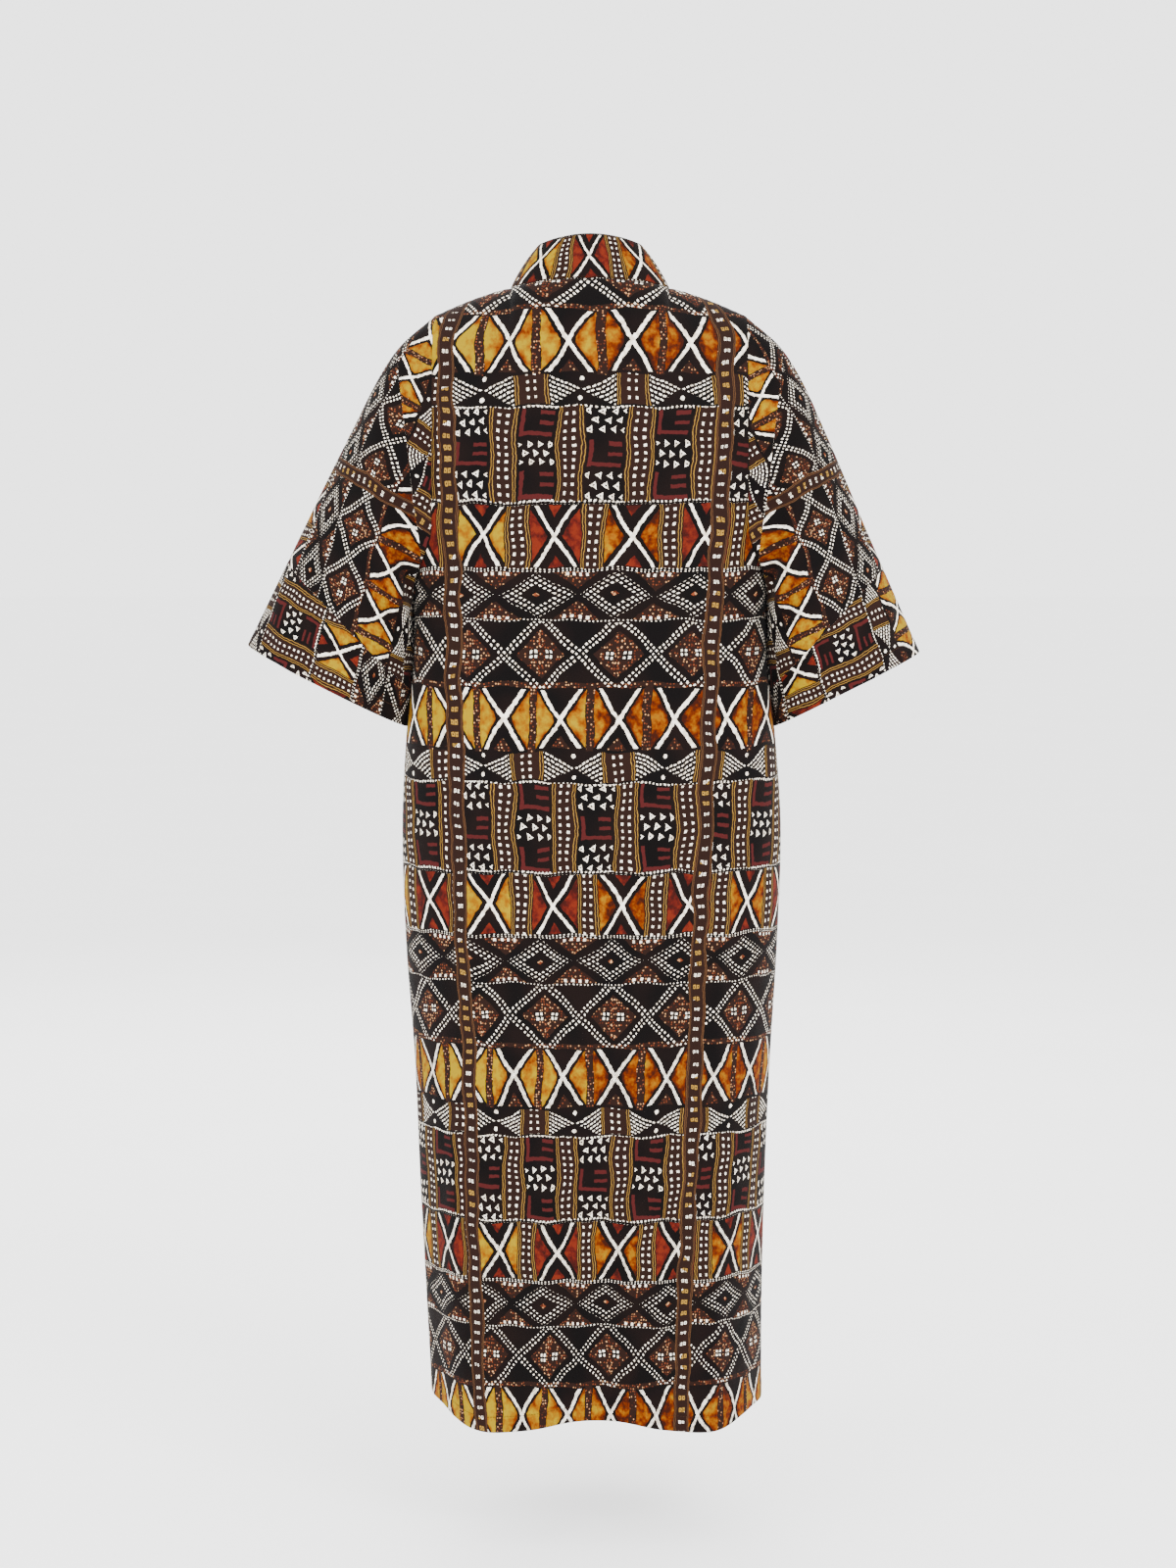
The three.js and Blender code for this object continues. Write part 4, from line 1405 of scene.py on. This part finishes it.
    def paint(self, below: bpy.types.NodeSocket, mask: Wire, ink: object) -> bpy.types.NodeSocket:
        """Lays an ink over what is below it where a mask is 1."""
        if isinstance(ink, str):
            ink = (*srgb(ink), 1.0)
        node = add_node(self.tree, "ShaderNodeMix", {"data_type": "RGBA"})
        connect(self.tree, mask, node.inputs["Factor"])
        connect(self.tree, below, node.inputs[6])
        connect(self.tree, ink, node.inputs[7])
        return node.outputs[2]

    def ground(self, drift: Wire) -> bpy.types.NodeSocket:
        """The near-black ground, browner in places."""
        stops = ((0.3, *srgb(self.inks.black)), (0.75, *srgb(self.inks.umber)))
        return ramp(self.tree, drift, stops).outputs["Color"]

    def reds(self) -> bpy.types.NodeSocket:
        """The brick reds, darker in places."""
        stops = [(0.36 + 0.12 * i, *srgb(code)) for i, code in enumerate(self.inks.reds)]
        return ramp(self.tree, self.mottle, stops).outputs["Color"]

    def golds(self) -> bpy.types.NodeSocket:
        """The mottled golds, from deep orange to yellow."""
        warm = (self.cell * 0.37).fract() * 0.22
        rim = (self.depth_in_lens * (1 / 7.0)).math("MINIMUM", 1.0)
        drift = (self.u * (math.pi / 340)).math("SINE") * -0.22
        at = (self.mottle - 0.5) * 1.5 + 0.48 + warm + (rim - 1.0) * 0.22 + drift
        stops = [(0.1 + 0.2 * i, *srgb(code)) for i, code in enumerate(self.inks.golds)]
        return ramp(self.tree, at, stops).outputs["Color"]

    def whites(self) -> bpy.types.NodeSocket:
        """The cream of the resist lines, slightly uneven."""
        stops = ((0.35, *srgb(self.inks.dim)), (0.6, *srgb(self.inks.cream)))
        return ramp(self.tree, self.fine[2], stops).outputs["Color"]

    def specks(self) -> Wire:
        """Small dabbed dots that fill the brown grounds, and their colour."""
        inputs = {"Vector": self.place, "Scale": 1 / 3.7, "Randomness": 0.8}
        node = add_node(self.tree, "ShaderNodeTexVoronoi", {"voronoi_dimensions": "2D"}, **inputs)
        stops = [(place, *srgb(code)) for place, code in zip((0.0, 0.5, 0.85), self.inks.specks)]
        pick = self.split(node.outputs["Color"], "ShaderNodeSeparateColor")
        self.speck_colour = ramp(self.tree, pick[0], stops).outputs["Color"]
        return (Wire(self.tree, node.outputs["Distance"]) < 0.27) & (pick[1] > 0.42)

    def crosses(self) -> tuple[Wire, Wire, Wire, Wire]:
        """The rows of crosses: cream strokes, golden and red wedges, and small dark triangles."""
        gold_row, red_row = self.on[Motif.GOLD_CROSSES], self.on[Motif.RED_CROSSES]
        lens_start = 7.3
        lean = self.ax - self.ay * 0.68
        inside = self.ay < 36.5
        half = 2.15 + self.fine[2] * 1.1 - red_row * 0.3
        strokes = (abs(lean) < half) & inside & (gold_row | red_row)
        # From the third repeat down, two thin dark lines run along each stroke
        thin = (abs(abs(lean) - 1.3) < 0.35) & (self.v > 2 * REPEAT - 9)
        strokes = strokes & (1.0 - thin)
        self.depth_in_lens = lean - lens_start
        lens = (self.ax > self.y * self.y * 0.015 + 9.5) & (lean > lens_start) & (self.aside > 5.6)
        lens = lens & inside & gold_row
        wedge = (lean > 9.0) & (self.ax < 31.0) & inside & red_row
        warm = 1.0 - self.cell.odd()
        triangle = (lean < -15.5) & red_row & inside
        small = (self.y - self.ax * 1.25 > 21.0) & gold_row & inside
        gold = lens | (wedge & warm)
        red = (wedge & (warm < 0.5)) | triangle
        return strokes, gold, red, small

    def panels(self) -> tuple[Wire, Wire, Wire]:
        """The narrow panels between motifs: two columns of dots between double lines."""
        within = (self.aside < self.panel) & (self.border > 1.2)
        dots = (abs(self.aside - 4.9) < 1.6) & self.v.near(9.2, 1.65) & within
        lines = abs(abs(self.aside - self.panel + 3.3) - 1.6) < 0.36
        return within, dots, lines & within

    def bow_ties(self) -> Wire:
        """The bow-ties, filled with slanted rows of oblong dots."""
        slope, dot_at = 0.47, 12.0
        wing = (self.ax < 38.0) & (self.ay - self.ax * slope < 0.5) & (self.border > 1.2)
        row = (self.y + self.ax * slope) * (1 / 5.3)
        dash = (self.ax - self.y * 0.45) * (1 / 6.2) + row.floor() * 0.5
        hatch = wing & (abs(row.fract() - 0.5) < 0.19) & (abs(dash.fract() - 0.5) < 0.33)
        dot = self.ax * self.ax + (self.ay - dot_at) * (self.ay - dot_at) < 7.0
        return (hatch | dot) & self.on[Motif.BOW_TIES]

    def combs(self) -> tuple[Wire, Wire]:
        """Blocks of three tiers, combs and clusters of small triangles by turns."""
        tier_height = Motif.COMBS.value.height / 3
        wide, tall = 14.0, 11.5  # from one small triangle to the next, across and down
        tier = ((self.y + tier_height * 1.5) * (1 / tier_height)).floor()
        y = self.y + tier_height - tier * tier_height
        block = (self.ax < 23.0) & self.on[Motif.COMBS]
        is_comb = (self.cell + tier).odd() > 0.5
        upright = (abs(self.x + 19.0) < 2.4) & (abs(y) < 15.0)
        bar = (abs(y - 12.5 - self.x * 0.05) < 2.4) & (self.ax < 20.0)
        tines = (abs(self.x - 11.0) < 9.0) & ((abs(y + 10.5) < 2.3) | (abs(y - 0.5) < 2.1))
        row = (y + tall * 1.5) * (1 / tall)
        column = self.x * (1 / wide) + row.floor() * 0.5
        across = (column.fract() - 0.5) * wide
        across = across * ((self.cell.odd() - 0.5) * 2.0)
        down = abs((row.fract() - 0.5) * tall)
        middle = (across + 1.2) * (across + 1.2) + down * down > 1.3
        triangle = (down + across * 0.6 < 2.2) & (across > -3.6) & middle
        triangle = triangle & (abs(y) < 17.0) & (self.ax < 22.0)
        seam = (abs(self.border - 2.0) < 1.0) & self.u.near(5.6, 1.3)
        return block & is_comb & (upright | bar | tines), block & ((triangle & (is_comb < 0.5)) | seam)

    def lozenges(self) -> tuple[Wire, Wire, Wire]:
        """Lozenges filled with a slanted grid of white cells, and specked triangles between them."""
        wide, tall, cells = 48.0, 27.5, 4.5
        a, b = self.x * (1 / wide), self.y * (1 / tall)
        rising, falling = a + b, a - b
        size = abs(rising).math("MAXIMUM", abs(falling))
        half = 0.225 - self.v * 0.00003  # the white cells get smaller lower down
        mesh = (rising * cells).near(1.0, half) & (falling * cells).near(1.0, half)
        on = self.on[Motif.LOZENGES]
        white = mesh & (size < 0.97) & (size > 0.40) & on
        triangle = (self.aside - (self.ay - 7.0) * 1.45 < 0.0) & (self.border > 2.4) & on
        centre = (size < 0.10) & on
        beads = (abs(self.border - 5.2) < 1.7) & self.aside.near(9.4, 1.8) & (self.aside < 20.0) & on
        return white | beads, triangle, centre

    def lattice(self) -> tuple[Wire, Wire, Wire]:
        """Crossing bands of square dots with dark specked ovals between them."""
        on = self.on[Motif.LATTICE]
        cosine, sine = 0.742, 0.671  # of the bands' angle
        cell = 5.7
        along = self.ax * cosine + self.ay * sine
        across = self.ay * cosine - self.ax * sine
        band = abs(across) < cell
        half = 1.36 - self.v * 0.00022  # the dots get finer lower down
        dots = along.near(cell, half) & across.near(cell, half)
        cluster = (abs(self.aside - 10.5) < cell) & (self.ay < cell)
        cluster_dots = cluster & (self.aside - 10.5).near(cell, 1.55) & self.y.near(cell, 1.6)
        pips = (abs(self.aside - 2.2) < 1.0) & (abs(self.ay - 18.0) < 9.5) & self.y.near(6.4, 1.1)
        oval = (across < -cell * 2.0) & (self.ay < 30.0) & (1.0 - cluster)
        edge = (self.border < 6.0) & (self.y > 0.0)
        white = (band & dots & (self.border > 1.0)) | cluster_dots
        return white & on, (oval | edge) & on, pips & on

    def stripes(self) -> tuple[Wire, Wire, Wire]:
        """The two upright stripes: a column of paired squares between thin double lines."""
        # The left stripe stands farther out, most of all near the top
        outward = (self.v * -0.04 + 16.0).math("MAXIMUM", 3.0) * (self.u < 0.0)
        x = abs(abs(self.u) - STRIPE_AT - outward)
        band = x < 12.4
        size = (self.coarse[2] - 0.5) * 2.6
        squares = (abs(x - 2.6) < 1.8 + size * 0.5) & self.v.near(14.2, 2.1 + size)
        hole = (abs(x - 2.9) < 0.7) & self.v.near(14.2, 0.9)
        lines = (abs(x - 11.5) < 0.5) | (abs(x - 9.5) < 0.35)
        return band, squares & (1.0 - hole) & band, lines & band


class Weave:
    """The plain weave of the cotton: a height for the bump, from two crossing sets of threads."""

    def __init__(self, pitch: float) -> None:
        """Makes the node group.

        Args:
            pitch: distance between two threads, in millimetres.
        """
        inputs, outputs = {"Place": "NodeSocketVector"}, {"Height": "NodeSocketFloat"}
        self.tree, inside, out = new_group("Plain weave", inputs, outputs)
        split = add_node(self.tree, "ShaderNodeSeparateXYZ")
        self.tree.links.new(inside.outputs["Place"], split.inputs[0])
        u = Wire(self.tree, split.outputs[0]) * (1 / pitch)
        v = Wire(self.tree, split.outputs[1]) * (1 / pitch)
        over = (u.floor() + v.floor()).odd()
        warp = (u * math.pi).math("SINE")
        weft = (v * math.pi).math("SINE")
        thread = abs(warp) * over + abs(weft) * (1.0 - over)
        rumple = flat_noise(self.tree, inside.outputs["Place"], 16.0, 3.0, Roughness=0.55)
        height = thread * 0.10 + Wire(self.tree, rumple.outputs["Fac"]) * 1.1
        connect(self.tree, height, out.inputs["Height"])


@dataclass(frozen=True)
class Cotton:
    """Printed cotton, seen from the printed face or from the reverse.

    Attributes:
        name: the material's name.
        roughness: how matt it is.
        sheen: weight of the soft sheen.
        faded: how far the print is paled towards the reverse's colour.
        reverse: the reverse's colour.
        bump: strength of the weave.
    """

    name: str
    roughness: float = 0.84
    sheen: float = 0.02
    faded: float = 0.0
    reverse: str = "44362e"
    bump: float = 0.5

    def build(self, pattern: StripPrint, weave: Weave) -> bpy.types.Material:
        """Makes the material.

        Args:
            pattern: the print.
            weave: the weave.

        Returns:
            The new material.
        """
        material, tree, shader = new_material(self.name)
        place = add_node(tree, "ShaderNodeUVMap", {"uv_map": "cloth"}).outputs["UV"]
        drawn = add_node(tree, "ShaderNodeGroup", {"node_tree": pattern.tree}, Place=place)
        threads = add_node(tree, "ShaderNodeGroup", {"node_tree": weave.tree}, Place=place)
        colour = drawn.outputs["Color"]
        if self.faded:
            paled = add_node(tree, "ShaderNodeMix", {"data_type": "RGBA"})
            wear = flat_noise(tree, place, 30.0, 2.0)
            amount = Wire(tree, wear.outputs["Fac"]) * 0.2 + (self.faded - 0.1)
            connect(tree, amount, paled.inputs["Factor"])
            connect(tree, colour, paled.inputs[6])
            paled.inputs[7].default_value = (*srgb(self.reverse), 1.0)
            colour = paled.outputs[2]
        connect(tree, colour, shader.inputs["Base Color"])
        roughness = Wire(tree, drawn.outputs["White"]) * -0.05 + self.roughness
        connect(tree, roughness, shader.inputs["Roughness"])
        shader.inputs["Sheen Weight"].default_value = self.sheen
        shader.inputs["Sheen Roughness"].default_value = 0.4
        shader.inputs["Specular IOR Level"].default_value = 0.04
        height = threads.outputs["Height"]
        relief = add_node(tree, "ShaderNodeBump", Height=height, Strength=self.bump, Distance=MM)
        connect(tree, relief.outputs["Normal"], shader.inputs["Normal"])
        return material


@dataclass(frozen=True)
class Thread:
    """Sewing thread, with a fine twist.

    Attributes:
        colour: the thread's colour.
        radius: of the thread, in metres.
        length: of one stitch.
        gap: between two stitches.
    """

    colour: str = "3a2010"
    radius: float = 0.28 * MM
    length: float = 2.5 * MM
    gap: float = 0.9 * MM

    SIDES = 5
    # Each ring of a stitch: its place as a share of the length, and its share of the radius
    RINGS = ((-0.5, 0.45), (-0.36, 1.0), (0.36, 1.0), (0.5, 0.45))
    SUNK = 0.7  # how deep a stitch lies in the cloth, in radii

    def material(self) -> bpy.types.Material:
        """Makes the thread's material."""
        material, tree, shader = new_material("Sewing thread")
        place = add_node(tree, "ShaderNodeTexCoord").outputs["Object"]
        twist = add_node(tree, "ShaderNodeTexWave", Vector=place, Scale=900.0, Distortion=2.0)
        dark = tuple(0.55 * value for value in srgb(self.colour))
        fleck = ramp(tree, Wire(tree, twist.outputs["Fac"]), ((0.2, *dark), (0.8, *srgb(self.colour))))
        connect(tree, fleck.outputs["Color"], shader.inputs["Base Color"])
        shader.inputs["Roughness"].default_value = 0.7
        shader.inputs["Specular IOR Level"].default_value = 0.1
        return material

    def stitches(self, line: np.ndarray) -> np.ndarray:
        """Works out the stitches along one line.

        Args:
            line: points by 6, place and outward normal.

        Returns:
            Stitches by rings by sides by 3.
        """
        run = running(spans(line[:, :3]))
        pitch = self.length + self.gap
        at = np.arange(pitch / 2, run[-1] - pitch / 2, pitch)
        before, middle, after = (
            np.stack([np.interp(at + share * self.length, run, column) for column in line.T], -1)
            for share in (-0.5, 0.0, 0.5)
        )
        ahead = unit(after[:, :3] - before[:, :3])
        aside = unit(np.cross(unit(middle[:, 3:]), ahead))
        normal = np.cross(ahead, aside)
        turn = 2 * math.pi * np.arange(self.SIDES)[:, None] / self.SIDES
        rings = []
        for share, thick in self.RINGS:
            lift = self.radius * (thick - self.SUNK)
            centre = middle[:, :3] + ahead * (share * self.length) + normal * lift
            spoke = aside[:, None] * np.cos(turn) + normal[:, None] * np.sin(turn)
            rings.append(centre[:, None] + spoke * (self.radius * thick))
        return np.stack(rings, 1)

    def sew(self, name: str, lines: Sequence[np.ndarray], material: bpy.types.Material) -> bpy.types.Object:
        """Makes a row of stitches along each line as one mesh.

        Args:
            name: the piece's name.
            lines: points by 6, place and outward normal.
            material: the thread's material.

        Returns:
            The new object.
        """
        stitches = np.concatenate([self.stitches(line) for line in lines])
        around, per = np.arange(self.SIDES), self.SIDES * len(self.RINGS)
        ahead = np.roll(around, -1)
        quad = np.stack([around, ahead, ahead + self.SIDES, around + self.SIDES], -1)
        sides = [(quad + self.SIDES * ring).tolist() for ring in range(len(self.RINGS) - 1)]
        caps = [around[::-1].tolist(), (around + per - self.SIDES).tolist()]
        one = [*itertools.chain(*sides), *caps]
        faces = [[k * per + i for i in face] for k in range(len(stitches)) for face in one]
        return add_object(name, stitches.reshape(-1, 3), faces, material)


@dataclass(frozen=True)
class Softbox:
    """A soft square light that faces the robe's middle.

    Attributes:
        name: the light's name.
        place: where it stands.
        size: of its side, in metres.
        power: in watts.
    """

    name: str
    place: tuple[float, float, float]
    size: float
    power: float

    def build(self) -> None:
        """Adds the light to the scene."""
        lamp = bpy.data.lights.new(self.name, "AREA")
        lamp.energy = self.power
        lamp.size = self.size
        obj = bpy.data.objects.new(self.name, lamp)
        bpy.context.scene.collection.objects.link(obj)
        aim = np.array(ROBE_MIDDLE) - np.array(self.place)
        pitch = math.atan2(math.hypot(aim[0], aim[1]), -aim[2])
        obj.location = self.place
        obj.rotation_euler = (pitch, 0, math.atan2(-aim[0], aim[1]))


@dataclass(frozen=True)
class Studio:
    """A pale floor, soft lights and the camera.

    Attributes:
        floor_z: height of the floor.
        distance: the camera's distance behind the middle plane.
        height: the camera's height.
        tilt: how far it looks down, in degrees.
        aside: how far it stands to the robe's left.
        lens: focal length in millimetres on a frame 36 mm tall.
        daylight: strength of the white light from all round.
        lights: the soft lights.
    """

    floor_z: float = -1.50
    distance: float = 4.2
    height: float = -0.25
    tilt: float = 4.703
    aside: float = 0.0024
    lens: float = 79.74
    daylight: float = 3.0
    lights: tuple[Softbox, ...] = (
        Softbox("key", (-2.2, 3.6, 1.9), 2.2, 240),
        Softbox("fill", (2.8, 3.0, 0.6), 2.6, 120),
        Softbox("front", (0.5, -4.0, 1.6), 2.6, 120),
    )

    def build(self) -> None:
        """Makes the floor, the lights and the camera."""
        size = 40.0
        corners = [(-size, -size), (size, -size), (size, size), (-size, size)]
        places = [(x, y, self.floor_z) for x, y in corners]
        add_object("studio_floor", places, [(0, 1, 2, 3)], self.floor_material())
        camera = bpy.data.objects.new("camera", bpy.data.cameras.new("camera"))
        bpy.context.scene.collection.objects.link(camera)
        camera.location = (self.aside, self.distance, self.height)
        camera.rotation_euler = (math.radians(90 - self.tilt), 0, math.pi)
        camera.data.sensor_width = 36
        camera.data.lens = self.lens
        bpy.context.scene.camera = camera
        world = bpy.data.worlds.new("studio")
        world.use_nodes = True
        background = world.node_tree.nodes["Background"]
        background.inputs["Color"].default_value = (1, 1, 1, 1)
        background.inputs["Strength"].default_value = self.daylight
        bpy.context.scene.world = world
        for light in self.lights:
            light.build()

    def floor_material(self) -> bpy.types.Material:
        """Makes the floor's pale, faintly mottled paint."""
        material, tree, shader = new_material("Pale floor")
        place = add_node(tree, "ShaderNodeTexCoord").outputs["Object"]
        noise = add_node(tree, "ShaderNodeTexNoise", Vector=place, Scale=3.0, Detail=2.0)
        stops = ((0.3, 0.955, 0.955, 0.955), (0.7, 0.975, 0.975, 0.975))
        tint = ramp(tree, Wire(tree, noise.outputs["Fac"]), stops)
        connect(tree, tint.outputs["Color"], shader.inputs["Base Color"])
        shader.inputs["Roughness"].default_value = 0.7
        return material


@dataclass(frozen=True)
class Cut:
    """What a panel stands for and the flat piece that it is cut from.

    Attributes:
        nodes: the nodes of the frame that the panel replaces.
        slot: the name of the material slot that it stands for; by it the neckband gets the printed face on
            both sides and its stitches beside the seam.
        width: of the flat piece.
        length: of the flat piece.
    """

    nodes: tuple[str, ...]
    slot: str
    width: float
    length: float


def dress(panel: Panel, cut: Cut, faces: Sequence[bpy.types.Material], thread: bpy.types.Material) -> None:
    """Args:
        panel: the panel.
        cut: what it stands for and its flat size.
        faces: materials of the printed face and of the reverse.
        thread: the thread's material.
    """
    panel.finish_surface()
    piece = panel.build(*faces)
    hems = [edge for edge, join in panel.joins.items() if join is Join.HEM]
    lines = [panel.line(edge, TURN_UP - HEM_STITCH_IN) for edge in hems]
    if cut.slot == "band_cloth":
        lines = [panel.line(Edge.FIRST_COLUMN, BAND_STITCH_IN)]
    stitches = Thread().sew(panel.name + "_stitches", lines, thread)
    for part in (piece, stitches):
        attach(part, "root")
    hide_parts(*cut.nodes)
    area = min(panel.area(), cut.width * cut.length)
    log.info(
        "%s: %d faces, %.3f by %.3f m, %.3f square metres",
        panel.name,
        len(piece.data.polygons),
        panel.reach(Edge.LAST_COLUMN).max(),
        panel.reach(Edge.LAST_ROW).max(),
        panel.area(),
    )


def main() -> None:
    """Builds the robe, panel by panel, and the studio round it."""
    logging.basicConfig(level=logging.INFO, format="%(name)s: %(message)s")
    Studio().build()
    pattern, weave = StripPrint(Inks()), Weave(0.55)
    outside = Cotton("Printed cotton").build(pattern, weave)
    inside = Cotton("Reverse of the print", faded=0.5, bump=0.4).build(pattern, weave)
    thread = Thread().material()
    robe = Robe()
    pieces = [(robe.back(), Cut(("back",), "body_cloth", 0.62, 1.45))]
    for side in Side:
        word = side.word
        pieces.append((robe.front(side), Cut((f"front_{word}",), "body_cloth", 0.25, 1.44)))
        pieces.append((robe.sleeve(side), Cut((f"sleeve_{word}",), "sleeve_cloth", 0.78, 0.47)))
    bands = ("band_left", "band_right", "band_back")
    pieces.append((robe.neckband(), Cut(bands, "band_cloth", 0.062, 3.08)))
    for panel, cut in pieces:
        reverse = outside if cut.slot == "band_cloth" else inside
        dress(panel, cut, (outside, reverse), thread)


if __name__ == "__main__":
    main()
